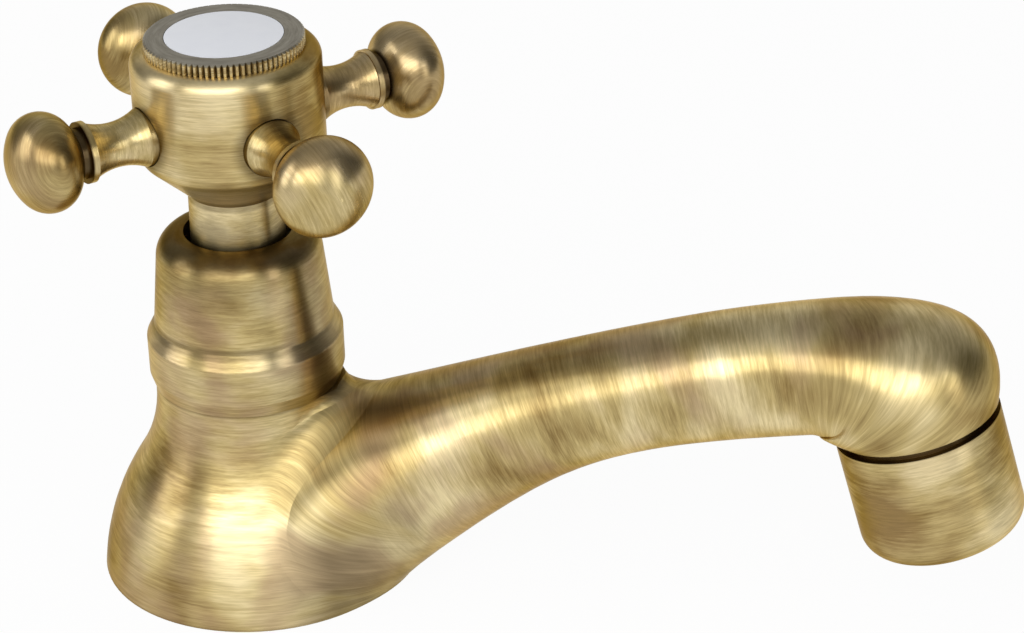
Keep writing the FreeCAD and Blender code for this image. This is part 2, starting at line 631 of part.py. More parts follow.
def waterway(body):
    """The cored passage from the valve chamber to the outlet."""
    throat = on_long_arc("throat_heading")
    neck = on_long_arc("neck_heading")
    waist = on_long_arc("waist_heading")
    crown = on_long_arc("crown_heading")
    stations = [
        ("root", "0", "root_passage_height", "0", "root_passage", "0"),
        ("throat", *throat, "throat_heading", "throat_passage", "0"),
        ("neck", *neck, "neck_heading", "neck_section", "spout_wall"),
        ("waist", *waist, "waist_heading", "waist_section", "spout_wall"),
        ("crown", *crown, "crown_heading", "crown_section", "spout_wall"),
        ("knuckle", *KNUCKLE, "knuckle_radius", "knuckle_wall"),
        ("rim", *RIM, "outlet_passage", "0"),
    ]
    sketches = []
    for name, across, up, heading, radius, inset in stations:
        row = (f"{name}_core", across, up, heading, radius, radius, inset)
        sketches.append(spout_section(body, *row))
    doc.recompute()
    core = body.newObject("PartDesign::SubtractiveLoft", "waterway")
    core.Profile = sketches[0]
    core.Sections = sketches[1:]
    return core


def outlet_thread(body):
    """The aerator's thread, bored in from the rim, with a ledge for its gasket."""
    depth = "aerator_thread_length + aerator_gasket_height"
    radius = "aerator_thread + thread_gap"
    sketch = spout_section(body, "outlet_thread_outline", *RIM, radius, radius)
    bore = body.newObject("PartDesign::Pocket", "outlet_thread")
    bore.Profile = sketch
    bind(bore, "Length", depth)


def tap_body():
    body = new_body("tap_body")
    raw_flare(body)
    spout = raw_spout(body)
    blend(body, spout)
    face_off(body)
    waterway(body)
    outlet_thread(body)
    bored(
        body,
        "valve_chamber",
        [
            ("0", "0"),
            ("inlet_radius", "0"),
            ("inlet_radius", "valve_seat_height"),
            ("chamber_radius", "valve_seat_height"),
            ("chamber_radius", "seat_height - headwork_thread_length"),
            ("headwork_thread + thread_gap", "seat_height - headwork_thread_length"),
            ("headwork_thread + thread_gap", "seat_height"),
            ("0", "seat_height"),
        ],
    )
    bored(
        body,
        "foot_relief",
        [
            ("inlet_boss_radius", "0"),
            ("relief_radius", "0"),
            ("relief_radius", "relief_depth", "relief_round"),
            ("inlet_boss_radius", "relief_depth", "relief_round"),
        ],
    )
    boss = new_sketch(body, "stud_boss_outline")
    circle(boss, "stud_boss_radius", "-stud_offset")
    extrude(body, "Pad", "stud_boss", boss, "relief_depth", True)
    hole = new_sketch(body, "stud_hole_outline")
    circle(hole, "stud_hole_radius", "-stud_offset")
    extrude(body, "Pocket", "stud_hole", hole, "stud_hole_depth", True)
    bored(
        body,
        "gasket_groove",
        [
            ("gasket_inner - gasket_gap", "0"),
            ("gasket_outer + gasket_gap", "0"),
            ("gasket_outer + gasket_gap", "gasket_depth"),
            ("gasket_inner - gasket_gap", "gasket_depth"),
        ],
    )


# ---------------------------------------------------------------- pieces in the casting

HEADWORK_SHOULDER = (
    "valve_seat_height + seal_height + 2 * disc_height + spindle_foot_height"
    " + thrust_washer_height - seat_height"
)
SLEEVE_END = "valve_seat_height + sleeve_seat_gap - seat_height"
FLANGE_TOP = "bonnet_gasket_height + bonnet_flange_height"
NOSE_TOP = (
    "neck_bottom_height - neck_gap - circlip_height - stop_washer_height - axial_play"
    " - seat_height"
)
NOSE_FOOT = f"{NOSE_TOP} - nose_height"


def ring(label, inner, outer, thickness, height):
    """A flat washer standing at a height on the valve axis."""
    corners = [(inner, "0"), (outer, "0"), (outer, thickness), (inner, thickness)]
    return turned(label, corners, height)


def ring_stack():
    """Washers and seals round the valve axis."""
    ring("base_gasket", "gasket_inner", "gasket_outer", "gasket_depth", "0")
    ring("seat_seal", "seal_inner", "seal_outer", "seal_height", "valve_seat_height")
    ring(
        "bonnet_gasket",
        "headwork_thread + thread_gap",
        "bonnet_flange_radius",
        "bonnet_gasket_height",
        "seat_height",
    )


def fixed_disc():
    """The lower ceramic disc, with a water port on each side."""
    body = turned(
        "fixed_disc",
        [
            ("0", "0"),
            ("fixed_disc_radius", "0"),
            ("fixed_disc_radius", "disc_height"),
            ("0", "disc_height"),
        ],
        "valve_seat_height + seal_height",
    )
    outline_of_port = new_sketch(body, "port_outline")
    circle(outline_of_port, "port_radius", "port_offset")
    port = extrude(body, "Pocket", "port", outline_of_port, "disc_height", True)
    around(body, "ports", port, outline_of_port, "2")


def hexagon(sketch, half_across_flats, across="0", up="0"):
    corners = []
    for step in range(6):
        angle = 60 * step + 30
        reach = f"({half_across_flats}) / cos(30)"
        corners.append((f"{across} + {reach} * cos({angle})", f"{up} + {reach} * sin({angle})"))
    outline(sketch, corners)


def valve_bonnet():
    """The screwed-in headwork body that holds discs and spindle."""
    body = turned(
        "valve_bonnet",
        [
            ("sleeve_bore", SLEEVE_END),
            ("sleeve_radius", SLEEVE_END),
            ("sleeve_radius", "thread_end_gap - headwork_thread_length"),
            ("headwork_thread", "thread_end_gap - headwork_thread_length"),
            ("headwork_thread", "bonnet_gasket_height"),
            ("bonnet_flange_radius", "bonnet_gasket_height"),
            ("bonnet_flange_radius", FLANGE_TOP),
            ("nose_radius", FLANGE_TOP),
            ("nose_radius", NOSE_TOP),
            ("stem_radius + stem_gap", NOSE_TOP),
            ("stem_radius + stem_gap", HEADWORK_SHOULDER),
            ("sleeve_bore", HEADWORK_SHOULDER),
        ],
        "seat_height",
    )
    spanner = new_sketch(body, "spanner_outline", height=FLANGE_TOP)
    hexagon(spanner, "hex_across_flats / 2")
    circle(spanner, "stem_radius + stem_gap")
    extrude(body, "Pad", "spanner_hexagon", spanner, "hex_height", True)
    thread = new_sketch(body, "shroud_thread_outline", height=NOSE_FOOT)
    circle(thread, "shroud_thread")
    circle(thread, "stem_radius + stem_gap")
    extrude(body, "Pad", "shroud_thread", thread, "shroud_thread_length", False)
    wall = new_sketch(body, "stop_wall_outline", height=NOSE_TOP)
    sector(wall, "stop_wall_inner", "nose_radius", "stop_wall_angle")
    extrude(body, "Pad", "stop_wall", wall, "stop_wall_height", True)
    window = new_sketch(body, "window_outline", role="YZ_Plane")
    low = "valve_seat_height + seal_height + disc_height - seat_height"
    rectangle(window, "-window_width / 2", low, "window_width / 2", f"{low} + window_height")
    cut = extrude(body, "Pocket", "water_windows", window, "2 * sleeve_radius", True)
    cut.Midplane = True


def shroud():
    """The bell-shaped cover that screws onto the bonnet, with its collar and step."""
    ring_top = "shroud_thread_start + shroud_thread_ring"
    roof = "shroud_height - shroud_roof"
    turned(
        "shroud",
        [
            ("shroud_bore", "0"),
            ("collar_foot_radius", "0"),
            ("collar_radius", "collar_rise"),
            ("collar_radius", "collar_height", "collar_round"),
            ("bell_foot_radius", "step_height", "step_round"),
            ("bell_top_radius", "shroud_height", "bell_round"),
            ("shroud_hole", "shroud_height"),
            ("shroud_hole", roof),
            ("shroud_upper_bore", roof),
            ("shroud_upper_bore", ring_top),
            ("shroud_thread + thread_gap", ring_top),
            ("shroud_thread + thread_gap", "shroud_thread_start"),
            ("shroud_bore", "shroud_thread_start"),
        ],
        "seat_height",
    )


# ---------------------------------------------------------------- aerator


def to_outlet(body):
    """Turn a piece from its own upright axis onto the outlet, rim at its origin."""
    body.Placement.Rotation = FreeCAD.Rotation(V(0, 1, 0), 180 - value("outlet_tilt"))
    bind(body, "Placement.Base.x", "spout_reach")
    bind(body, "Placement.Base.z", "rim_height")
    bind(body, "Placement.Rotation.Angle", "180 - outlet_tilt")


def outlet_piece(label, corners):
    body = turned(label, corners)
    to_outlet(body)
    return body


DIFFUSER_TOP = "diffuser_height - aerator_thread_length"
GRID_FOOT = "shell_length - shell_lip - grid_height"


def aerator_shell():
    lip = "shell_length - shell_lip"
    outlet_piece(
        "aerator_shell",
        [
            ("shell_bore", "-aerator_thread_length"),
            ("aerator_thread", "-aerator_thread_length"),
            ("aerator_thread", "0"),
            ("shell_groove_radius", "0"),
            ("shell_groove_radius", "shell_groove_width"),
            ("rim_radius", "shell_groove_width"),
            ("shell_mouth_radius", "shell_length", "shell_round"),
            ("shell_lip_radius", "shell_length"),
            ("shell_lip_radius", lip),
            ("shell_bore", lip),
        ],
    )


def aerator_insert():
    """Gasket, diffuser, housing and outlet grid, stacked inside the shell."""
    ledge = "-aerator_thread_length - aerator_gasket_height"
    outer = "shell_bore - insert_gap"
    outlet_piece(
        "aerator_gasket",
        [
            ("aerator_gasket_inner", ledge),
            ("aerator_thread - thread_gap", ledge),
            ("aerator_thread - thread_gap", "-aerator_thread_length"),
            ("aerator_gasket_inner", "-aerator_thread_length"),
        ],
    )
    diffuser = outlet_piece(
        "aerator_diffuser",
        [
            ("0", "-aerator_thread_length"),
            (outer, "-aerator_thread_length"),
            (outer, DIFFUSER_TOP),
            ("0", DIFFUSER_TOP),
        ],
    )
    jet = new_sketch(diffuser, "jet_outline", height="-aerator_thread_length")
    circle(jet, "diffuser_hole", "diffuser_ring")
    hole = extrude(diffuser, "Pocket", "jet", jet, "diffuser_height", True)
    around(diffuser, "jets", hole, jet, "diffuser_count")
    inner = f"{outer} - insert_wall"
    outlet_piece(
        "aerator_housing",
        [
            (inner, DIFFUSER_TOP),
            (outer, DIFFUSER_TOP),
            (outer, GRID_FOOT),
            (f"{inner} - insert_step", GRID_FOOT),
            (f"{inner} - insert_step", f"{GRID_FOOT} - insert_step"),
            (inner, f"{GRID_FOOT} - 2 * insert_step"),
        ],
    )
    grid = outlet_piece(
        "aerator_grid",
        [
            ("0", GRID_FOOT),
            (outer, GRID_FOOT),
            (outer, f"{GRID_FOOT} + grid_height"),
            ("0", f"{GRID_FOOT} + grid_height"),
        ],
    )
    middle = new_sketch(grid, "middle_cell_outline", height=GRID_FOOT)
    hexagon(middle, "grid_cell")
    extrude(grid, "Pocket", "middle_cell", middle, "grid_height", True)
    cells = [("grid_pitch", "0"), ("2 * grid_pitch", "0")]
    cells.append(("1.5 * grid_pitch", "sin(60) * grid_pitch"))
    for number, (across, up) in enumerate(cells, start=1):
        cell = new_sketch(grid, f"cell_outline_{number}", height=GRID_FOOT)
        hexagon(cell, "grid_cell", across, up)
        hole = extrude(grid, "Pocket", f"cell_{number}", cell, "grid_height", True)
        around(grid, f"cells_{number}", hole, cell, "6")


# ---------------------------------------------------------------- turning pieces

MOVING_DISC_FOOT = "valve_seat_height + seal_height + disc_height"
SPINDLE_FOOT = f"{MOVING_DISC_FOOT} + disc_height"
STEM_TOP = f"{NOSE_TOP} + axial_play + seat_height - ({SPINDLE_FOOT})"
HUB_BASE = "arm_height - arm_rise"
NECK_FOOT = f"neck_bottom_height - ({HUB_BASE})"
SPINDLE_TOP = f"{HUB_BASE} + web_bottom - ({SPINDLE_FOOT})"
STOP_WASHER_FOOT = f"seat_height + {NOSE_TOP} + axial_play"


def moving_disc():
    """The upper ceramic disc: two open ports, and a slot for the spindle's tongue."""
    body = turned(
        "moving_disc",
        [
            ("0", "0"),
            ("moving_disc_radius", "0"),
            ("moving_disc_radius", "disc_height"),
            ("0", "disc_height"),
        ],
        MOVING_DISC_FOOT,
    )
    notch = new_sketch(body, "notch_outline")
    rectangle(notch, "-port_radius", "port_offset - port_radius", "port_radius", "sleeve_bore")
    cut = extrude(body, "Pocket", "notch", notch, "disc_height", True)
    around(body, "notches", cut, notch, "2")
    slot = new_sketch(body, "drive_slot_outline", height="disc_height - tongue_height")
    half = "tongue_width / 2 + tongue_gap"
    rectangle(slot, "-sleeve_bore", f"-({half})", "sleeve_bore", half)
    extrude(body, "Pocket", "drive_slot", slot, "tongue_height", True)


def ring_groove_height(pitches):
    return f"lower_ring_height + {pitches} * ring_pitch"


def spindle():
    """Drive tongue, foot, stem with two ring grooves, and a splined top with a screw hole."""
    groove = "stem_radius - ring_groove_depth"
    clip_low = f"{STEM_TOP} + stop_washer_height"
    clip_high = f"{clip_low} + circlip_height + circlip_gap"
    corners = [
        ("0", "0"),
        ("spindle_foot_radius", "0"),
        ("spindle_foot_radius", "spindle_foot_height"),
        ("stem_radius", "spindle_foot_height"),
    ]
    for pitches in (0, 1):
        low = f"{ring_groove_height(pitches)} - ring_groove_width / 2"
        high = f"{ring_groove_height(pitches)} + ring_groove_width / 2"
        corners += [("stem_radius", low), (groove, low), (groove, high), ("stem_radius", high)]
    corners += [
        ("stem_radius", STEM_TOP),
        ("spline_radius", STEM_TOP),
        ("spline_radius", clip_low),
        ("circlip_groove_radius", clip_low),
        ("circlip_groove_radius", clip_high),
        ("spline_radius", clip_high),
        ("spline_radius", SPINDLE_TOP, "spline_depth"),
        ("0", SPINDLE_TOP),
    ]
    body = turned("spindle", corners, SPINDLE_FOOT)
    tongue = new_sketch(body, "tongue_outline")
    half = "tongue_width / 2"
    reach = "moving_disc_radius - tongue_height"
    rectangle(tongue, f"-({reach})", f"-({half})", reach, half)
    extrude(body, "Pad", "tongue", tongue, "tongue_height", False)
    hole = new_sketch(body, "screw_hole_outline", height=SPINDLE_TOP)
    circle(hole, "screw_radius + thread_gap")
    depth = "screw_length - washer_height - web_height + screw_hole_spare"
    extrude(body, "Pocket", "screw_hole", hole, depth, False)
    spline = new_sketch(body, "spline_outline", height=SPINDLE_TOP)
    rectangle(
        spline,
        "spline_radius - spline_depth",
        "-spline_width / 2",
        "spline_radius + spline_depth",
        "spline_width / 2",
    )
    cut = extrude(body, "Pocket", "spline", spline, "spline_length", False)
    around(body, "splines", cut, spline, "spline_count")


def sealing_rings():
    centre = "stem_radius + stem_gap / 2 - ring_groove_depth / 2"
    for pitches, label in enumerate(("lower_o_ring", "upper_o_ring")):
        body = new_body(label)
        section = new_sketch(body, f"{label}_section", "XZ_Plane")
        circle(section, "ring_section", centre)
        revolve(body, "Revolution", f"{label}_sweep", section)
        place(body, f"{SPINDLE_FOOT} + {ring_groove_height(pitches)}")


def travel_parts():
    """Thrust washer under the bonnet's shoulder; stop washer and circlip over its nose."""
    ring(
        "thrust_washer",
        "stem_radius + thread_gap",
        "spindle_foot_radius",
        "thrust_washer_height",
        f"{SPINDLE_FOOT} + spindle_foot_height",
    )
    stop = ring(
        "stop_washer",
        "spline_radius + spline_gap",
        "stop_washer_radius",
        "stop_washer_height",
        STOP_WASHER_FOOT,
    )
    lug = new_sketch(stop, "lug_outline")
    lug.AttachmentOffset = FreeCAD.Placement(V(), FreeCAD.Rotation(V(0, 0, 1), 1))
    bind(lug, "AttachmentOffset.Rotation.Angle", "stop_wall_angle + stop_margin")
    sector(lug, "stop_washer_radius - lug_root", "stop_lug_radius", "stop_lug_angle")
    extrude(stop, "Pad", "lug", lug, "stop_washer_height", True)
    clip = ring(
        "circlip",
        "circlip_groove_radius + circlip_gap",
        "circlip_radius",
        "circlip_height",
        f"{STOP_WASHER_FOOT} + stop_washer_height",
    )
    mouth = new_sketch(clip, "mouth_outline")
    rectangle(mouth, "0", "-circlip_opening / 2", "2 * circlip_radius", "circlip_opening / 2")
    extrude(clip, "Pocket", "mouth", mouth, "circlip_height", True)


def handle_hub():
    """Neck, bead and round hub, with the spindle's bore, the cap well and four arm seats."""
    web_top = "web_bottom + web_height"
    well_floor = "hub_height - cap_well_depth"
    body = turned(
        "handle_hub",
        [
            ("spline_radius + spline_gap", NECK_FOOT),
            ("neck_radius", NECK_FOOT),
            ("neck_waist_radius", "neck_height"),
            ("bead_radius", "neck_height + bead_height", "bead_round"),
            ("hub_knee_radius", "hub_knee_height", "hub_under_round"),
            ("hub_radius", "hub_side_start"),
            ("hub_radius", "hub_height", "hub_top_round"),
            ("cap_thread + thread_gap", "hub_height"),
            ("cap_thread + thread_gap", well_floor),
            ("screw_well_radius", well_floor),
            ("screw_well_radius", web_top),
            ("screw_radius + screw_clearance", web_top),
            ("screw_radius + screw_clearance", "web_bottom"),
            ("spline_radius + spline_gap", "web_bottom"),
        ],
    )
    place(body, HUB_BASE, "arm_clocking")
    socket = new_sketch(body, "arm_socket_section", "XZ_Plane")
    bind(socket, "AttachmentOffset.Base.y", "arm_rise")
    hole = "spigot_radius + thread_gap"
    face = "arm_root_radius + arm_seat_gap"
    outline(
        socket,
        [
            ("spigot_start - thread_end_gap", "0"),
            ("2 * hub_radius", "0"),
            ("2 * hub_radius", face),
            ("arm_seat", face),
            ("arm_seat", hole),
            ("spigot_start - thread_end_gap", hole),
        ],
    )
    cut = revolve(body, "Groove", "arm_socket", socket, "H_Axis")
    pattern = body.newObject("PartDesign::PolarPattern", "arm_sockets")
    pattern.Originals = [cut]
    pattern.Axis = (socket, ["V_Axis"])
    pattern.Angle = 360
    pattern.Occurrences = 4
    body.Tip = pattern


def arc(sketch, first, middle, last):
    """An arc through three points; returns its index and its ends in that order."""
    index = sketch.addGeometry(Part.Arc(first, middle, last), False)
    if sketch.getPoint(index, START).isEqual(first, 1e-6):
        return index, START, END
    return index, END, START


def handle_arm(number):
    """One turned arm: screwed spigot, hollow neck, collar, groove and flattened ball."""
    body = new_body(f"handle_arm_{number}")
    sketch = new_sketch(body, "arm_section", "XZ_Plane")
    names = [
        ("spigot_start", "0"),
        ("spigot_start", "spigot_radius"),
        ("arm_seat", "spigot_radius"),
        ("arm_seat", "arm_root_radius"),
        ("arm_root_end", "arm_root_radius"),
        ("arm_collar_start", "arm_neck_radius"),
        ("arm_collar_start", "arm_collar_radius"),
        ("arm_collar_end", "arm_collar_radius"),
        ("arm_collar_end", "arm_groove_radius"),
    ]
    points = [V(value(across), value(up), 0) for across, up in names]
    # the ball: two shallow faces centred on the arm's axis, joined by a rounded rim
    centre, rim = value("ball_position"), value("ball_rim_radius")
    half, height = value("ball_half_length"), value("ball_radius") - value("ball_rim_radius")
    far = half - rim
    offset = (far**2 - height**2) / (2 * far)
    face = half - offset
    touch = V(offset, 0, 0) + unit(V(-offset, height, 0)) * face
    groove = value("arm_groove_radius")
    groove_end = V(centre - offset - math.sqrt(face**2 - groove**2), groove, 0)
    near_touch = V(centre - touch.x, touch.y, 0)
    far_touch = V(centre + touch.x, touch.y, 0)
    tip = V(centre + half, 0, 0)
    lines = []
    for i, point in enumerate(points):
        after = points[i + 1] if i + 1 < len(points) else groove_end
        if names[i] == ("arm_root_end", "arm_root_radius"):
            middle = V(value("arm_waist_position"), value("arm_waist_radius"), 0)
            lines.append(arc(sketch, point, middle, after))
            waist = sketch.addGeometry(Part.Point(middle), True)
            on_arc = Sketcher.Constraint("PointOnObject", waist, START, lines[-1][0])
            sketch.addConstraint(on_arc)
            fix_point(sketch, waist, START, "arm_waist_position", "arm_waist_radius")
        else:
            index = sketch.addGeometry(Part.LineSegment(point, after), False)
            lines.append((index, START, END))
    near_centre, far_centre = V(centre - offset, 0, 0), V(centre + offset, 0, 0)
    near_middle = near_centre + unit((groove_end + near_touch) * 0.5 - near_centre) * face
    far_middle = far_centre + unit((tip + far_touch) * 0.5 - far_centre) * face
    near = arc(sketch, groove_end, near_middle, near_touch)
    edge = arc(sketch, near_touch, V(centre, value("ball_radius"), 0), far_touch)
    far_face = arc(sketch, far_touch, far_middle, tip)
    index = sketch.addGeometry(Part.LineSegment(tip, points[0]), False)
    lines += [near, edge, far_face, (index, START, END)]
    for i, (item, first, last) in enumerate(lines):
        following, after_first, after_last = lines[(i + 1) % len(lines)]
        kind = "Tangent" if item in (near[0], edge[0]) else "Coincident"
        sketch.addConstraint(Sketcher.Constraint(kind, item, last, following, after_first))
    for i, (across, up) in enumerate(names):
        fix_point(sketch, lines[i][0], lines[i][1], across, up)
    sketch.addConstraint(Sketcher.Constraint("Horizontal", lines[len(names) - 1][0]))
    for item in (near[0], far_face[0]):
        sketch.addConstraint(Sketcher.Constraint("PointOnObject", item, CENTRE, X_AXIS))
    fix_point(sketch, edge[0], CENTRE, "ball_position", "ball_radius - ball_rim_radius")
    drive(sketch, "Radius", (edge[0],), "ball_rim_radius")
    sketch.addConstraint(Sketcher.Constraint("Equal", near[0], far_face[0]))
    fix_point(sketch, far_face[0], far_face[2], "ball_position + ball_half_length", "0")
    revolve(body, "Revolution", "arm_turning", sketch, "H_Axis")
    place(body, "arm_height", f"arm_clocking + {90 * (number - 1)}")


def handle_screw():
    """Slotted screw that holds the hub on the spindle."""
    body = turned(
        "handle_screw",
        [
            ("0", "-screw_length"),
            ("screw_radius", "-screw_length"),
            ("screw_radius", "0"),
            ("screw_head_radius", "0"),
            ("screw_head_radius", "screw_head_height", "screw_head_round"),
            ("0", "screw_head_height"),
        ],
        f"{HUB_BASE} + web_bottom + web_height + washer_height",
    )
    slot = new_sketch(body, "slot_outline", height="screw_head_height - screw_slot_depth")
    half = "screw_slot_width / 2"
    rectangle(slot, "-2 * screw_head_radius", f"-{half}", "2 * screw_head_radius", half)
    extrude(body, "Pocket", "slot", slot, "screw_slot_depth", True)


def index_cap():
    """The knurled ring screwed into the hub, and the domed disc it carries."""
    hub_top = f"{HUB_BASE} + hub_height"
    floor = "ring_height - ring_recess_depth"
    recess = "disc_radius + index_gap"
    body = turned(
        "index_ring",
        [
            ("ring_bore", "-cap_thread_depth"),
            ("cap_thread", "-cap_thread_depth"),
            ("cap_thread", "0"),
            ("ring_radius", "0"),
            ("ring_radius", "ring_height - ring_bevel"),
            ("ring_radius - ring_bevel", "ring_height"),
            (recess, "ring_height"),
            (recess, floor),
            ("ring_bore", floor),
        ],
        hub_top,
    )
    tooth = new_sketch(body, "knurl_outline")
    half = "knurl_share * ring_radius * tan(180 / knurl_count)"
    outline(
        tooth,
        [
            ("ring_radius - knurl_depth", "0"),
            ("ring_radius + knurl_depth", f"-2 * {half}"),
            ("ring_radius + knurl_depth", f"2 * {half}"),
        ],
    )
    cut = extrude(body, "Pocket", "knurl", tooth, "ring_height", True)
    around(body, "knurling", cut, tooth, "knurl_count")
    disc = new_body("index_disc")
    section = new_sketch(disc, "index_disc_section", "XZ_Plane")
    low = section.addGeometry(Part.LineSegment(V(), V(value("disc_radius"), 0, 0)), False)
    rim_top = V(value("disc_radius"), value("index_height"), 0)
    side = section.addGeometry(Part.LineSegment(V(value("disc_radius"), 0, 0), rim_top), False)
    crown = V(0, value("index_height") + value("index_dome"), 0)
    radius = (value("disc_radius") ** 2 + value("index_dome") ** 2) / (2 * value("index_dome"))
    centre = V(0, crown.y - radius, 0)
    middle = centre + unit((rim_top + crown) * 0.5 - centre) * radius
    dome, first, last = arc(section, rim_top, middle, crown)
    axis = section.addGeometry(Part.LineSegment(crown, V()), False)
    section.addConstraint(Sketcher.Constraint("Coincident", low, END, side, START))
    section.addConstraint(Sketcher.Constraint("Coincident", side, END, dome, first))
    section.addConstraint(Sketcher.Constraint("Coincident", dome, last, axis, START))
    section.addConstraint(Sketcher.Constraint("Coincident", axis, END, low, START))
    section.addConstraint(Sketcher.Constraint("Coincident", low, START, ORIGIN, START))
    fix_point(section, side, START, "disc_radius", "0")
    fix_point(section, side, END, "disc_radius", "index_height")
    fix_point(section, axis, START, "0", "index_height + index_dome")
    section.addConstraint(Sketcher.Constraint("PointOnObject", dome, CENTRE, Y_AXIS))
    revolve(disc, "Revolution", "index_disc_turning", section)
    place(disc, f"{hub_top} + {floor}")


# ---------------------------------------------------------------- check and write


def check(item):
    """Stop on any failed feature, and on any cut or addition that changed nothing."""
    for feature in item.Group:
        if {"Invalid", "Error"} & set(feature.State):
            raise RuntimeError(f"{item.Label}: {feature.Name} failed: {feature.State}")
        base = getattr(feature, "BaseFeature", None)
        if base is not None and abs(feature.Shape.Volume - base.Shape.Volume) < 1e-4:
            raise RuntimeError(f"{item.Label}: {feature.Name} changed nothing")
    if item.Shape.isNull() or not item.Shape.isValid():
        raise RuntimeError(f"{item.Label}: the shape is not valid")
    if len(item.Shape.Solids) != 1:
        raise RuntimeError(f"{item.Label}: {len(item.Shape.Solids)} solids instead of one")


tap_body()
ring_stack()
fixed_disc()
valve_bonnet()
shroud()
aerator_shell()
aerator_insert()
moving_disc()
spindle()
sealing_rings()
travel_parts()
handle_hub()
for arm_number in (1, 2, 3, 4):
    handle_arm(arm_number)
ring(
    "screw_washer",
    "screw_radius + screw_clearance",
    "washer_radius",
    "washer_height",
    f"{HUB_BASE} + web_bottom + web_height",
)
handle_screw()
index_cap()
doc.recompute()
for part in parts:
    check(part)
os.makedirs("parts", exist_ok=True)
for part in parts:
    part.Shape.exportStep(f"parts/{part.Label}.step")
    box = part.Shape.BoundBox
    print(f"{part.Label}: {part.Shape.Volume / 1000:.2f} cm3, z {box.ZMin:.2f} to {box.ZMax:.2f}")
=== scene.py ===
import json
import math

import bmesh
import bpy
from mathutils import Matrix, Vector
from mathutils.bvhtree import BVHTree


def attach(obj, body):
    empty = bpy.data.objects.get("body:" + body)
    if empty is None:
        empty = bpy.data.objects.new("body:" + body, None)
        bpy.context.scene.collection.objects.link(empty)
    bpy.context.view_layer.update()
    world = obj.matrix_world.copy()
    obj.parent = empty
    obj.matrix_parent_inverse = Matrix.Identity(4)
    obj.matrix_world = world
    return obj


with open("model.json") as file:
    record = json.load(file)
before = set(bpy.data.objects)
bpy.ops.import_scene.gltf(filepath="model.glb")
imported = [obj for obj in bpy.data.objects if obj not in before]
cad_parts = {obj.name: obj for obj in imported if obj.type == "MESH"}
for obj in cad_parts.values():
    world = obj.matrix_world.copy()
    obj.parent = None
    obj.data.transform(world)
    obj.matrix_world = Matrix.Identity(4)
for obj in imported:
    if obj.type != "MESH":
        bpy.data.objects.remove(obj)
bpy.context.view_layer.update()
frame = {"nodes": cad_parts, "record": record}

# Lengths are millimetres along the frame's axes. Multiplied by MM they are metres.
MM = 0.001
NODES = frame["nodes"]

# ---------------------------------------------------------------- camera

CAMERA_AIM = Vector((46.81, 0, 50.64)) * MM
CAMERA_YAW = math.radians(-15.0)
CAMERA_ELEVATION = math.radians(27.81)
CAMERA_ROLL = math.radians(-1.71)
CAMERA_DISTANCE = 528.2 * MM
CAMERA_LENS = 112.5
CAMERA_SENSOR_WIDTH = 36
CAMERA_CLIP_START = 0.01


def add_camera():
    """The photograph's view: over the spout from its right side."""
    level = Vector((math.sin(CAMERA_YAW), math.cos(CAMERA_YAW), 0))
    ahead = level * math.cos(CAMERA_ELEVATION) - Vector((0, 0, math.sin(CAMERA_ELEVATION)))
    right = Vector((level.y, -level.x, 0))
    up = right.cross(ahead)
    tilted_right = right * math.cos(CAMERA_ROLL) + up * math.sin(CAMERA_ROLL)
    tilted_up = up * math.cos(CAMERA_ROLL) - right * math.sin(CAMERA_ROLL)
    axes = Matrix((tilted_right, tilted_up, -ahead)).transposed().to_4x4()
    data = bpy.data.cameras.new("camera")
    data.sensor_width = CAMERA_SENSOR_WIDTH
    data.lens = CAMERA_LENS
    data.clip_start = CAMERA_CLIP_START
    camera = bpy.data.objects.new("camera", data)
    camera.matrix_world = Matrix.Translation(CAMERA_AIM - ahead * CAMERA_DISTANCE) @ axes
    bpy.context.scene.collection.objects.link(camera)
    bpy.context.scene.camera = camera


# ---------------------------------------------------------------- node building blocks

# A Mix node's two inputs and its output by number, because all its kinds share their names.
MIX_SOCKETS = {"FLOAT": (2, 3, 0), "VECTOR": (4, 5, 1), "RGBA": (6, 7, 2)}


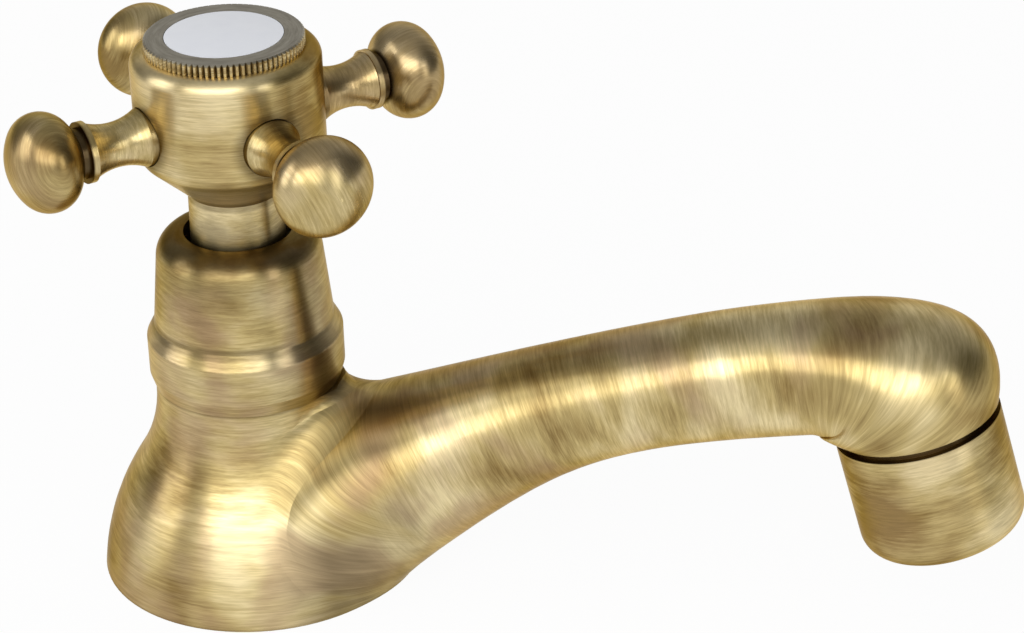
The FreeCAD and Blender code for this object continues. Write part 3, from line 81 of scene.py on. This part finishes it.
class Graph:
    """The node tree of a material or world, with short calls for the nodes that they share."""

    def __init__(self, owner, output_kind="ShaderNodeOutputMaterial"):
        self.owner = owner
        self.owner.use_nodes = True
        self.tree = owner.node_tree
        self.tree.nodes.clear()
        self.output = self.tree.nodes.new(output_kind)

    def node(self, kind, inputs=None, **settings):
        item = self.tree.nodes.new(kind)
        for key, setting in settings.items():
            setattr(item, key, setting)
        for key, source in (inputs or {}).items():
            self.feed(item.inputs[key], source)
        return item

    def feed(self, socket, source):
        """Link another node's output to a socket, or write a plain value there."""
        if isinstance(source, bpy.types.NodeSocket):
            self.tree.links.new(source, socket)
        else:
            socket.default_value = source

    def calculate(self, kind, operation, values):
        item = self.node(kind, operation=operation)
        for socket, source in zip(item.inputs, values):
            self.feed(socket, source)
        return item.outputs[0]

    def math(self, operation, *values):
        return self.calculate("ShaderNodeMath", operation, values)

    def vector_math(self, operation, *values):
        return self.calculate("ShaderNodeVectorMath", operation, values)

    def add(self, first, second):
        return self.math("ADD", first, second)

    def subtract(self, first, second):
        return self.math("SUBTRACT", first, second)

    def multiply(self, first, second):
        return self.math("MULTIPLY", first, second)

    def largest(self, first, *others):
        for other in others:
            first = self.math("MAXIMUM", first, other)
        return first

    def weighted(self, *pairs):
        """The sum of values, each times its weight."""
        total = None
        for value, weight in pairs:
            term = self.multiply(value, weight)
            total = term if total is None else self.add(total, term)
        return total

    def mix(self, share, first, second, blend="MIX", kind="RGBA"):
        """All of the first at share 0, and all of the second at share 1."""
        low, high, result = MIX_SOCKETS[kind]
        inputs = {0: share, low: first, high: second}
        return self.node("ShaderNodeMix", inputs, data_type=kind, blend_type=blend).outputs[result]

    def noise(self, vector, scale, detail=3.0, roughness=0.55, distortion=0.0):
        inputs = {"Vector": vector, "Scale": scale, "Detail": detail}
        inputs.update({"Roughness": roughness, "Distortion": distortion})
        return self.node("ShaderNodeTexNoise", inputs).outputs[0]

    def spread(self, value, low, high, to_low=0.0, to_high=1.0, smooth=False):
        """Carry a value from one range to another, and hold it at the ends."""
        inputs = {"Value": value, "From Min": low, "From Max": high}
        inputs.update({"To Min": to_low, "To Max": to_high})
        way = "SMOOTHSTEP" if smooth else "LINEAR"
        return self.node("ShaderNodeMapRange", inputs, interpolation_type=way).outputs[0]

    def combine(self, x, y, z):
        return self.node("ShaderNodeCombineXYZ", {"X": x, "Y": y, "Z": z}).outputs[0]

    def ramp(self, value, stops):
        item = self.node("ShaderNodeValToRGB", {0: value})
        elements = item.color_ramp.elements
        while len(elements) < len(stops):
            elements.new(0.5)
        for element, (place, colour) in zip(elements, stops):
            element.position = place
            element.color = (*colour, 1)
        return item.outputs[0]

    def to_world(self, direction):
        """An object's own direction, turned with the object."""
        ways = {"vector_type": "VECTOR", "convert_from": "OBJECT", "convert_to": "WORLD"}
        return self.node("ShaderNodeVectorTransform", {"Vector": direction}, **ways).outputs[0]

    def bump(self, height, distance):
        return self.node("ShaderNodeBump", {"Height": height, "Distance": distance}).outputs[0]

    def show(self, shader):
        """Make a shader the tree's result."""
        self.tree.links.new(shader, self.output.inputs["Surface"])
        return self.owner

    def surface(self, **inputs):
        """A Principled surface whose inputs are named with underscores."""
        named = {name.replace("_", " "): source for name, source in inputs.items()}
        return self.show(self.node("ShaderNodeBsdfPrincipled", named).outputs[0])


def new_graph(name):
    return Graph(bpy.data.materials.new(name))


# ---------------------------------------------------------------- where things are on the tap

UPRIGHT = (0, 0, 1)
HANDLE_AXIS_HEIGHT = 83.1
ARM_ANGLES = [math.radians(45 + 90 * quarter) for quarter in range(4)]
BALL_START = (26.6, 27.4)
SPOUT_ARC_CENTRE = (129.2, -145.7)
SPOUT_ARC_RADIUS = 195.0
ELBOW_CENTRE = (101.0, 33.0)
ELBOW_RADIUS = 12.0
ELBOW_START = (94.0, 104.0)
SPOUT_BRUSHING_START = (22.0, 34.0)
OUTLET = (113.9, 39.8)
OUTLET_TILT = math.radians(15.3)
OUTLET_END = (80.0, 92.0)

# The least square of a radius, which keeps the axis itself clear of a division by zero.
LEAST_SQUARE = 0.01


def place_in_mm(graph):
    """Object coordinates in millimetres, and their three parts."""
    coordinates = graph.node("ShaderNodeTexCoord")
    place = graph.vector_math("MULTIPLY", coordinates.outputs["Object"], (1000, 1000, 1000))
    return place, graph.node("ShaderNodeSeparateXYZ", {"Vector": place}).outputs


def unit_circle(graph, x, y):
    """The direction of a point seen from an axis, as two parts, and its distance."""
    squares = graph.add(graph.multiply(x, x), graph.multiply(y, y))
    radius = graph.math("SQRT", graph.largest(squares, LEAST_SQUARE))
    return graph.math("DIVIDE", x, radius), graph.math("DIVIDE", y, radius), radius


def arm_frame(graph, parts, angle):
    """Distance along the arm at this angle, then sideways and upward from its axis."""
    cosine, sine = math.cos(angle), math.sin(angle)
    along = graph.weighted((parts[0], cosine), (parts[1], sine))
    sideways = graph.weighted((parts[1], cosine), (parts[0], -sine))
    return along, sideways, graph.subtract(parts[2], HANDLE_AXIS_HEIGHT)


def out_from(graph, parts, centre):
    """Across and up from a centre in the plane of the spout."""
    return graph.subtract(parts[0], centre[0]), graph.subtract(parts[2], centre[1])


def shell_frame(graph, parts):
    """Depth below the outlet's rim, and the distance across it in the plane of the spout."""
    out_x, out_z = out_from(graph, parts, OUTLET)
    sine, cosine = math.sin(OUTLET_TILT), math.cos(OUTLET_TILT)
    depth = graph.weighted((out_x, sine), (out_z, -cosine))
    return depth, graph.weighted((out_x, cosine), (out_z, sine))


def at_elbow(graph, parts):
    return graph.spread(parts[0], *ELBOW_START, smooth=True)


# ---------------------------------------------------------------- brushing

# Noise per millimetre along and across the brushing, and the roughness of the noise.
SCRATCHES = (0.15, 2.4, 0.78)
SMUDGES = (0.050, 0.12, 0.60)

# The radius at which noise round an axis has those rates.
VALVE_STREAK_RADIUS = 16
ARM_STREAK_RADIUS = 9
SHELL_STREAK_RADIUS = 14

# How far the brushing moves along a piece for each millimetre out or aside.
VALVE_FLARE = 0.6
ARM_FLARE = 0.25
BALL_SLANT = 0.4
SPOUT_LEAN = 0.25

# The share of its height that the elbow's brushing follows.
ELBOW_FLATTENING = 0.4

# How far smudges move the change from round to straight brushing on the casting.
BRUSHING_WANDER = 14


def streak_noise(graph, first, second, across, fineness=1.0):
    """Scratches and smudges: both slow along the brushing, quick across it."""
    noises = []
    for along_rate, across_rate, roughness in (SCRATCHES, SMUDGES):
        place = graph.combine(
            graph.multiply(first, along_rate),
            graph.multiply(second, along_rate),
            graph.multiply(across, across_rate * fineness),
        )
        noises.append(graph.noise(place, 1.0, 3.0, roughness))
    return noises


def blend_streaks(graph, share, first, second):
    return [graph.mix(share, a, b, kind="FLOAT") for a, b in zip(first, second)]


def turned_streaks(graph, parts, fineness=1.0):
    """Streak noise for a piece brushed while it turns on the valve axis."""
    x, y, radius = unit_circle(graph, parts[0], parts[1])
    across = graph.add(parts[2], graph.multiply(radius, VALVE_FLARE))
    first, second = (graph.multiply(part, VALVE_STREAK_RADIUS) for part in (x, y))
    return streak_noise(graph, first, second, across, fineness)


def turned(fineness):
    return lambda graph, parts: turned_streaks(graph, parts, fineness)


def arm_streaks(angle):
    """Streak noise round one arm's own axis, and straight across its ball."""

    def streaks(graph, parts):
        along, sideways, upward = arm_frame(graph, parts, angle)
        x, y, radius = unit_circle(graph, sideways, upward)
        across = graph.add(along, graph.multiply(radius, ARM_FLARE))
        first, second = (graph.multiply(part, ARM_STREAK_RADIUS) for part in (x, y))
        round_it = streak_noise(graph, first, second, across)
        slant = graph.add(sideways, graph.multiply(upward, BALL_SLANT))
        belted = streak_noise(graph, along, upward, slant)
        return blend_streaks(graph, graph.spread(along, *BALL_START), round_it, belted)

    return streaks


def spout_streaks(graph, parts, fineness):
    """Streak noise across the spout, turning with its long arc and its elbow."""
    lengths = []
    for centre, radius in ((SPOUT_ARC_CENTRE, SPOUT_ARC_RADIUS), (ELBOW_CENTRE, ELBOW_RADIUS)):
        turn = graph.math("ARCTAN2", *out_from(graph, parts, centre))
        lengths.append(graph.weighted((turn, radius), (parts[1], SPOUT_LEAN)))
    flat = graph.multiply(parts[2], ELBOW_FLATTENING)
    straight = streak_noise(graph, parts[1], parts[2], lengths[0], fineness)
    bent = streak_noise(graph, parts[1], flat, lengths[1], fineness)
    return blend_streaks(graph, at_elbow(graph, parts), straight, bent)


def casting_streaks(graph, parts):
    """Round the foot, then across the spout."""
    foot = turned_streaks(graph, parts)
    spout = spout_streaks(graph, parts, 0.9)
    wander = graph.multiply(graph.subtract(foot[1], 0.5), BRUSHING_WANDER)
    share = graph.spread(graph.add(parts[0], wander), *SPOUT_BRUSHING_START, smooth=True)
    return blend_streaks(graph, share, foot, spout)


def shell_streaks(graph, parts):
    depth, aside = shell_frame(graph, parts)
    x, y, _ = unit_circle(graph, aside, parts[1])
    first, second = (graph.multiply(part, SHELL_STREAK_RADIUS) for part in (x, y))
    return streak_noise(graph, first, second, depth)


# Lines: the direction square to the scratches, along which reflections are drawn out.


def upright_line(graph, parts):
    return UPRIGHT


def arm_line(angle):
    return lambda graph, parts: (math.cos(angle), math.sin(angle), 0)


def shell_line(graph, parts):
    return math.sin(OUTLET_TILT), 0, -math.cos(OUTLET_TILT)


def casting_line(graph, parts):
    """Upright on the foot, then the way that the spout runs, bending at the elbow."""
    ways = []
    for centre in (SPOUT_ARC_CENTRE, ELBOW_CENTRE):
        out_x, out_z = out_from(graph, parts, centre)
        way = graph.combine(out_z, 0.0, graph.multiply(out_x, -1))
        ways.append(graph.vector_math("NORMALIZE", way))
    spout = graph.mix(at_elbow(graph, parts), *ways, kind="VECTOR")
    share = graph.spread(parts[0], *SPOUT_BRUSHING_START, smooth=True)
    return graph.mix(share, UPRIGHT, spout, kind="VECTOR")


# ---------------------------------------------------------------- patina and painted shade

# Where the patina and the painted shade lie. Heights are above the deck, reaches along the spout
# or an arm.
# The crook of foot and spout and the shroud's side towards the spout take painted shade.
SEAM_HEIGHT = (34.5, 35.2)
SEAM_END = (17.5, 19.5)
CROOK_REACH = (20.0, 30.0)
CROOK_FADE = 8.0
CROOK_HEIGHT = (10.0, 29.0)
ROOF_HEIGHT = (58.6, 61.6)
BELL_HEIGHT = (48.0, 60.0)
STEP_HEIGHT = (45.9, 46.9)
SPOUT_SIDE_REACH = (7.0, 15.0)
BEAD_HEIGHT = (69.4, 70.6)
NECK_HEIGHT = (66.0, 69.5)
EDGE_FADE = 0.9
ARM_SEAT_RADIUS = (4.9, 7.2)
ARM_SEAT_REACH = (0.0, 6.0)
ARM_GROOVE_REACH = (26.5, 27.7)
ARM_GROOVE_FADE = 0.35
ARM_ROOT_REACH = (14.9, 17.0)
BALL_REACH = (27.5, 29.5)
SHELL_GROOVE_DEPTH = (1.25, 1.5)


def band(graph, value, low, high, softness, strength=1.0):
    """Strong between low and high, fading out over the softness on each side."""
    rise = graph.spread(value, low - softness, low, smooth=True)
    fall = graph.spread(value, high, high + softness, 1.0, 0.0, smooth=True)
    return graph.multiply(graph.multiply(rise, fall), strength)


def cloudy(graph, shade, smudge):
    """A shade that is uneven with the smudges."""
    return graph.multiply(shade, graph.spread(smudge, 0.38, 0.62, 0.45, 1.0, smooth=True))


def casting_seam_and_shade(graph, parts, smudge):
    """A thin seam under the shroud, and a painted shade low in the crook of foot and spout."""
    seam = graph.spread(parts[2], *SEAM_HEIGHT, 0.0, 0.6)
    near = graph.spread(parts[0], *SEAM_END, 1.0, 0.0)
    # Painted shade: the crook is darkened low down, under the spout, for the dark reflection and
    # shade there.
    crook_shade = band(graph, parts[0], *CROOK_REACH, CROOK_FADE, 0.66)
    low = graph.spread(parts[2], *CROOK_HEIGHT, 1.0, 0.0, smooth=True)
    crook_shade = cloudy(graph, graph.multiply(crook_shade, low), smudge)
    return graph.largest(graph.multiply(seam, near), crook_shade)


def shroud_patina_and_shade(graph, parts, smudge):
    """Brown over the roof, down the bell and in the step above the collar, and painted shade on
    the side towards the spout.
    """
    roof = graph.spread(parts[2], *ROOF_HEIGHT, 0.0, 0.78, smooth=True)
    bell = graph.spread(parts[2], *BELL_HEIGHT, 0.05, 0.40, smooth=True)
    step = band(graph, parts[2], *STEP_HEIGHT, EDGE_FADE, 0.50)
    # Painted shade: the shroud's side towards the spout is darkened, as if that side faced a dim
    # part of the room.
    spout_side_shade = graph.spread(parts[0], *SPOUT_SIDE_REACH, 0.0, 0.42, smooth=True)
    return graph.largest(roof, spout_side_shade, cloudy(graph, bell, smudge), step)


def hub_patina(graph, parts, smudge):
    """Brown rings round the arms' seats, over the bead and down the neck."""
    bead = band(graph, parts[2], *BEAD_HEIGHT, EDGE_FADE, 0.45)
    neck = graph.spread(parts[2], *NECK_HEIGHT, 0.42, 0.0, smooth=True)
    rings = []
    for angle in ARM_ANGLES:
        along, sideways, upward = arm_frame(graph, parts, angle)
        _, _, out = unit_circle(graph, sideways, upward)
        ring = graph.spread(out, *ARM_SEAT_RADIUS, 0.62, 0.0, smooth=True)
        rings.append(graph.multiply(ring, graph.spread(along, *ARM_SEAT_REACH)))
    return graph.largest(bead, cloudy(graph, neck, smudge), *rings)


def arm_patina(angle):
    """Nearly black in the groove before the ball, and a shade at the root and on the ball."""

    def darkening(graph, parts, smudge):
        along, _, _ = arm_frame(graph, parts, angle)
        groove = band(graph, along, *ARM_GROOVE_REACH, ARM_GROOVE_FADE, 0.94)
        root = graph.spread(along, *ARM_ROOT_REACH, 0.45, 0.0, smooth=True)
        ball = graph.spread(along, *BALL_REACH, 0.0, 0.12, smooth=True)
        return graph.largest(groove, root, cloudy(graph, ball, smudge))

    return darkening


def shell_patina(graph, parts, smudge):
    """Nearly black in the groove under the outlet rim."""
    depth, _ = shell_frame(graph, parts)
    return graph.spread(depth, *SHELL_GROOVE_DEPTH, 0.96, 0.0)


# ---------------------------------------------------------------- brushed antique brass

BRONZE = (0.275, 0.183, 0.062)
OLD_GOLD = (0.505, 0.390, 0.165)
PALE_GOLD = (0.755, 0.630, 0.355)
ROSE_BROWN = (0.345, 0.220, 0.125)
EDGE_TINT = (0.72, 0.56, 0.30)
# Dark brown for the patina, and for the painted contact shade and the painted shade in the crook
# and on the shroud's spout side.
DARK_BROWN = (0.060, 0.036, 0.014)

TONE_WEIGHTS = (0.12, 0.33, 0.55)
TONE_STOPS = [(0.385, BRONZE), (0.475, OLD_GOLD), (0.575, PALE_GOLD)]
CLOUD_RATE = 0.05
BLUSH_RATE = 0.045
BLUSH_OFFSET = (31, 17, 53)
BLUSH_WEIGHTS = (0.6, 0.4)
BLUSH_RANGE = (0.45, 0.59)
SCRATCH_SHADES = (0.86, 1.10)
SCRATCH_DEPTH = 0.000008
ROUGHNESS_SWING = 0.04
# Painted contact shade from ambient occlusion: its reach, the openness over which it fades out,
# and its strength.
CONTACT_SHADE_REACH = 1.8 * MM
CONTACT_SHADE_RANGE = (0.25, 0.75)
CONTACT_SHADE_STRENGTH = 0.80


def brushed_brass(name, streaks, line, darkening, blush=0.6, roughness=0.34, stretch=0.72):
    """Lacquered antique brass: scratches over smudges, with a rosy blush and a patina.

    It is darker where pieces meet, apart from the outlet: a painted contact shade from ambient
    occlusion, which also stands in for grime in the joins. The streaks, the line and the
    darkening, which is patina and on some pieces painted shade, are functions that draw them for
    one piece.
    """
    graph = new_graph(name)
    place, parts = place_in_mm(graph)
    fine, smudge = streaks(graph, parts)

    clouds = graph.noise(place, CLOUD_RATE, 2.0, 0.5, 0.3)
    tone = graph.weighted(*zip((fine, smudge, clouds), TONE_WEIGHTS))
    metal = graph.ramp(tone, TONE_STOPS)

    rosy_place = graph.vector_math("ADD", place, BLUSH_OFFSET)
    rosy = graph.noise(rosy_place, BLUSH_RATE, 2.0, 0.5, 0.6)
    rosy = graph.weighted(*zip((rosy, smudge), BLUSH_WEIGHTS))
    rosy_share = graph.spread(rosy, *BLUSH_RANGE, 0.0, blush, smooth=True)
    metal = graph.mix(rosy_share, metal, (*ROSE_BROWN, 1))
    scratches = graph.spread(fine, 0.35, 0.65, *SCRATCH_SHADES)
    metal = graph.mix(1.0, metal, scratches, "MULTIPLY")

    # Painted contact shade: ambient occlusion darkens the brass where pieces meet and in tight
    # hollows, faded out towards the outlet. It also stands in for grime in the joins.
    contact = graph.node("ShaderNodeAmbientOcclusion", {"Distance": CONTACT_SHADE_REACH}, samples=6)
    openness = contact.outputs["AO"]
    shade_and_patina = graph.spread(openness, *CONTACT_SHADE_RANGE, CONTACT_SHADE_STRENGTH, 0.0, smooth=True)
    shade_and_patina = graph.multiply(shade_and_patina, graph.spread(parts[0], *OUTLET_END, 1.0, 0.0))
    # The piece's own darkening is patina. On the casting and the shroud it holds painted shade
    # too.
    shade_and_patina = graph.largest(shade_and_patina, darkening(graph, parts, smudge))
    metal = graph.mix(shade_and_patina, metal, (*DARK_BROWN, 1))

    dullest, glossiest = roughness + ROUGHNESS_SWING, roughness - ROUGHNESS_SWING
    return graph.surface(
        Base_Color=metal,
        Metallic=1.0,
        Roughness=graph.spread(fine, 0.3, 0.7, dullest, glossiest),
        Anisotropic=stretch,
        Tangent=graph.to_world(line(graph, parts)),
        Normal=graph.bump(fine, SCRATCH_DEPTH),
        Specular_Tint=(*EDGE_TINT, 1),
        Coat_Weight=0.12,
        Coat_Roughness=0.20,
    )


# ---------------------------------------------------------------- other finishes

# Colour, metallic, roughness, grain per millimetre, contrast of the grain, and depth in metres.
PLAIN_FINISHES = {
    "plain_brass": ((0.62, 0.47, 0.22), 1.0, 0.30, 0.8, 0.25, 0.00002),
    "steel": ((0.56, 0.56, 0.57), 1.0, 0.28, 0.9, 0.2, 0.00002),
    "seal_rubber": ((0.022, 0.022, 0.024), 0.0, 0.62, 2.0, 0.4, 0.00004),
    "valve_ceramic": ((0.80, 0.78, 0.73), 0.0, 0.22, 1.2, 0.05, 0.00001),
    "white_plastic": ((0.74, 0.74, 0.71), 0.0, 0.42, 1.5, 0.06, 0.00002),
}
GLAZE_SHADES = [(0.3, (0.81, 0.83, 0.89)), (0.7, (0.85, 0.87, 0.92))]
RING_TOP_SHADES = [(0.3, (0.230, 0.205, 0.155)), (0.7, (0.350, 0.320, 0.250))]
RING_TEETH_SHADES = [(0.3, BRONZE), (0.7, PALE_GOLD)]
RING_TOP_HEIGHT = (97.0, 97.25)
RING_TEETH_RADIUS = (12.75, 13.1)


def plain_material(name, colour, metallic, roughness, grain_scale, grain, depth):
    """A plain finish with a little mottling, for pieces that hardly show."""
    graph = new_graph(name)
    place, _ = place_in_mm(graph)
    mottle = graph.noise(place, grain_scale, 3.0, 0.6)
    darker = tuple(channel * (1 - grain) for channel in colour)
    return graph.surface(
        Base_Color=graph.ramp(mottle, [(0.3, darker), (0.7, colour)]),
        Metallic=metallic,
        Roughness=graph.spread(mottle, 0.3, 0.7, roughness + 0.08, roughness),
        Normal=graph.bump(mottle, depth),
    )


def porcelain():
    """Bluish white glaze with the faintest unevenness."""
    graph = new_graph("porcelain")
    place, _ = place_in_mm(graph)
    ripple = graph.noise(place, 0.22, 2.0, 0.5)
    return graph.surface(
        Base_Color=graph.ramp(ripple, GLAZE_SHADES),
        Roughness=0.16,
        Coat_Weight=0.6,
        Coat_Roughness=0.05,
        Normal=graph.bump(ripple, 0.00002),
    )


def ring_bronze():
    """The index ring: dull grey-brown bronze on top, rubbed gold on the teeth."""
    graph = new_graph("ring_bronze")
    _, parts = place_in_mm(graph)
    _, _, radius = unit_circle(graph, parts[0], parts[1])
    fine, _ = turned_streaks(graph, parts, 1.2)
    top = graph.ramp(fine, RING_TOP_SHADES)
    teeth = graph.ramp(fine, RING_TEETH_SHADES)
    in_gaps = graph.spread(radius, *RING_TEETH_RADIUS, 0.75, 0.0)
    teeth = graph.mix(in_gaps, teeth, (*DARK_BROWN, 1))
    return graph.surface(
        Base_Color=graph.mix(graph.spread(parts[2], *RING_TOP_HEIGHT), teeth, top),
        Metallic=1.0,
        Roughness=graph.spread(fine, 0.3, 0.7, 0.44, 0.34),
        Normal=graph.bump(fine, 0.00001),
    )


def dress(node, material):
    """Put a finish on a CAD node."""
    item = NODES[node]
    item.data.materials.clear()
    item.data.materials.append(material)


def dress_all():
    """Plain finishes by their slot in the record, and one brushed brass for each brass piece."""
    by_slot = {slot: plain_material(slot, *finish) for slot, finish in PLAIN_FINISHES.items()}
    by_slot["porcelain"] = porcelain()
    for row in frame["record"]["subparts"]:
        if row["material_slot"] in by_slot:
            dress(row["node"], by_slot[row["material_slot"]])

    casting = brushed_brass("casting_brass", casting_streaks, casting_line, casting_seam_and_shade)
    dress("tap_body", casting)
    shroud = brushed_brass("shroud_brass", turned(0.9), upright_line, shroud_patina_and_shade, blush=0.7)
    dress("shroud", shroud)
    hub = brushed_brass("hub_brass", turned(1.3), upright_line, hub_patina, blush=0.15)
    dress("handle_hub", hub)
    for number, angle in enumerate(ARM_ANGLES, start=1):
        arm = brushed_brass(
            f"arm_brass_{number}",
            arm_streaks(angle),
            arm_line(angle),
            arm_patina(angle),
            blush=0.45,
            roughness=0.30,
            stretch=0.35,
        )
        dress(f"handle_arm_{number}", arm)
    shell = brushed_brass("shell_brass", shell_streaks, shell_line, shell_patina, blush=0.2)
    dress("aerator_shell", shell)
    dress("index_ring", ring_bronze())


# ---------------------------------------------------------------- the casting's soft valleys

# Name, centre, reach, a point inside the casting, and rounds of smoothing.
VALLEYS = (
    ("junction_skin", (21, 0, 20), 26, (0, 0, 20), 120),
    ("crook_skin", (98, 0, 38), 15, (105, 0, 46), 45),
)
SKIN_VOXEL = 0.6 * MM
SKIN_SINK = 0.03 * MM

# A vertex that comes out of the casting by less than this share of the sink counts as hidden.
SKIN_HIDDEN_SHARE = 0.4

# The skin is flat up to this distance from a neighbouring piece, and rises over the next length.
SKIN_CLEARANCE = 0.5 * MM
SKIN_RISE = 2 * MM

# The share of its reach over which a skin fades out at its edge.
SKIN_EDGE_SHARE = 0.35


def add_soft_valleys():
    """Skins over the casting where its valleys are rounder than the solid's.

    One fills the corner between foot and spout, and one the crook under the elbow. Elsewhere
    they lie just under the solid's surface, and are cut away.
    """
    casting = NODES["tap_body"]
    own = tree_of(casting)
    others = [tree_of(NODES["shroud"]), tree_of(NODES["aerator_shell"])]
    even = even_mesh(casting)
    for name, centre, reach, inside, rounds in VALLEYS:
        centre, inside = Vector(centre) * MM, Vector(inside) * MM
        skin = soft_skin(even, own, others, centre, reach * MM, inside, rounds)
        piece = bpy.data.objects.new(name, skin)
        bpy.context.scene.collection.objects.link(piece)
        piece.data.materials.append(casting.data.materials[0])
        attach(piece, "tap")
    bpy.data.meshes.remove(even)


def tree_of(item):
    """A search tree over a node's faces."""
    mesh = item.data
    corners = [vertex.co for vertex in mesh.vertices]
    return BVHTree.FromPolygons(corners, [face.vertices for face in mesh.polygons])


def even_mesh(item):
    """The node's form in small even faces."""
    copy = bpy.data.objects.new("even", item.data.copy())
    bpy.context.scene.collection.objects.link(copy)
    remesh = copy.modifiers.new("remesh", "REMESH")
    remesh.mode = "VOXEL"
    remesh.voxel_size = SKIN_VOXEL
    graph = bpy.context.evaluated_depsgraph_get()
    mesh = bpy.data.meshes.new_from_object(copy.evaluated_get(graph))
    bpy.data.meshes.remove(copy.data)
    return mesh


def smooth_step(value):
    value = max(0.0, min(1.0, value))
    return value * value * (3 - 2 * value)


def soft_skin(even, own, others, centre, reach, inside, rounds):
    """The part of the even mesh round a centre, smoothed, and kept where it leaves the casting."""
    skin = bmesh.new()
    skin.from_mesh(even)
    skin.normal_update()
    unused = [
        vertex
        for vertex in skin.verts
        if (vertex.co - centre).length > reach or vertex.normal.dot(vertex.co - inside) < 0
    ]
    bmesh.ops.delete(skin, geom=unused, context="VERTS")
    starts = [own.find_nearest(vertex.co)[0] for vertex in skin.verts]
    for _ in range(rounds):
        bmesh.ops.smooth_vert(
            skin, verts=skin.verts, factor=0.5, use_axis_x=True, use_axis_y=True, use_axis_z=True
        )
    under = set()
    for vertex, start in zip(skin.verts, starts):
        room = min(tree.find_nearest(start)[3] for tree in others)
        to_edge = reach - (start - centre).length
        share = smooth_step((room - SKIN_CLEARANCE) / SKIN_RISE)
        share *= smooth_step(to_edge / (SKIN_EDGE_SHARE * reach))
        place = start.lerp(vertex.co, share)
        nearest, normal, _, _ = own.find_nearest(place)
        vertex.co = place - normal * SKIN_SINK
        if (vertex.co - nearest).dot(normal) < -SKIN_HIDDEN_SHARE * SKIN_SINK:
            under.add(vertex)
    hidden = [face for face in skin.faces if all(vertex in under for vertex in face.verts)]
    bmesh.ops.delete(skin, geom=hidden, context="FACES")
    loose = [vertex for vertex in skin.verts if not vertex.link_faces]
    bmesh.ops.delete(skin, geom=loose, context="VERTS")
    for face in skin.faces:
        face.smooth = True
    mesh = bpy.data.meshes.new("skin")
    skin.to_mesh(mesh)
    skin.free()
    return mesh


# ---------------------------------------------------------------- floor, world and lights

FLOOR_HALF_SIZE = 3.0
FLOOR_COLOUR = (0.90, 0.90, 0.90, 1)
FLOOR_GLOW = 0.95

# Greys of the room for each part of a direction, which runs from -1 to 1.
SIDE_GREYS = [(-0.95, 0.20), (-0.40, 1.0), (0.35, 1.0), (0.85, 0.10)]
DEPTH_GREYS = [(-0.4, 1.0), (0.1, 0.74), (0.7, 0.66)]
HEIGHT_GREYS = [(-0.2, 0.95), (0.45, 0.95), (0.72, 0.56), (0.93, 0.50)]
WORLD_STRENGTH = 1.08

# Name, place, width and height in metres, and watts.
LAMPS = (
    ("softbox_front", (0.08, -0.84, 0.60), 1.3, 0.50, 5.2),
    ("softbox_left", (-0.85, -0.35, 0.45), 0.5, 0.7, 2.6),
    ("softbox_right", (0.95, -0.45, 0.35), 0.3, 0.6, 1.5),
)
LAMP_AIM = (0.045, 0, 0.045)


def white_floor():
    """A floor that takes shadows, and glows white to the camera and in reflections."""
    graph = new_graph("white_floor")
    diffuse = graph.node("ShaderNodeBsdfDiffuse", {"Color": FLOOR_COLOUR})
    glow = graph.node("ShaderNodeEmission", {"Color": (1, 1, 1, 1), "Strength": 1.0})
    rays = graph.node("ShaderNodeLightPath").outputs
    seen = graph.largest(
        rays["Is Camera Ray"], rays["Is Glossy Ray"], rays["Is Transmission Ray"]
    )
    share = graph.multiply(seen, FLOOR_GLOW)
    shaders = {0: share, 1: diffuse.outputs[0], 2: glow.outputs[0]}
    material = graph.show(graph.node("ShaderNodeMixShader", shaders).outputs[0])
    mesh = bpy.data.meshes.new("floor")
    size = FLOOR_HALF_SIZE
    corners = [(-size, -size, 0), (size, -size, 0), (size, size, 0), (-size, size, 0)]
    mesh.from_pydata(corners, [], [(0, 1, 2, 3)])
    mesh.materials.append(material)
    floor = bpy.data.objects.new("floor", mesh)
    bpy.context.scene.collection.objects.link(floor)


def room_grey(graph, part, greys):
    """Grey over one part of a direction."""
    stops = [((place + 1) / 2, (grey, grey, grey)) for place, grey in greys]
    return graph.ramp(graph.spread(part, -1, 1), stops)


def studio_world():
    """A pale room, dimmer overhead, at the sides and behind the tap than in front of it."""
    graph = Graph(bpy.data.worlds.new("studio"), "ShaderNodeOutputWorld")
    bpy.context.scene.world = graph.owner
    direction = graph.node("ShaderNodeTexCoord").outputs["Generated"]
    side, depth, height = graph.node("ShaderNodeSeparateXYZ", {"Vector": direction}).outputs
    colour = room_grey(graph, side, SIDE_GREYS)
    colour = graph.mix(1.0, colour, room_grey(graph, depth, DEPTH_GREYS), "MULTIPLY")
    colour = graph.mix(1.0, colour, room_grey(graph, height, HEIGHT_GREYS), "MULTIPLY")
    light = graph.node("ShaderNodeBackground", {"Color": colour, "Strength": WORLD_STRENGTH})
    graph.show(light.outputs[0])


def add_lights():
    for name, place, width, height, watts in LAMPS:
        data = bpy.data.lights.new(name, "AREA")
        data.shape = "RECTANGLE"
        data.size = width
        data.size_y = height
        data.energy = watts
        light = bpy.data.objects.new(name, data)
        light.location = place
        towards = Vector(LAMP_AIM) - Vector(place)
        light.rotation_euler = towards.to_track_quat("-Z", "Y").to_euler()
        bpy.context.scene.collection.objects.link(light)


add_camera()
dress_all()
add_soft_valleys()
white_floor()
studio_world()
add_lights()
bpy.context.scene.view_settings.view_transform = "Standard"
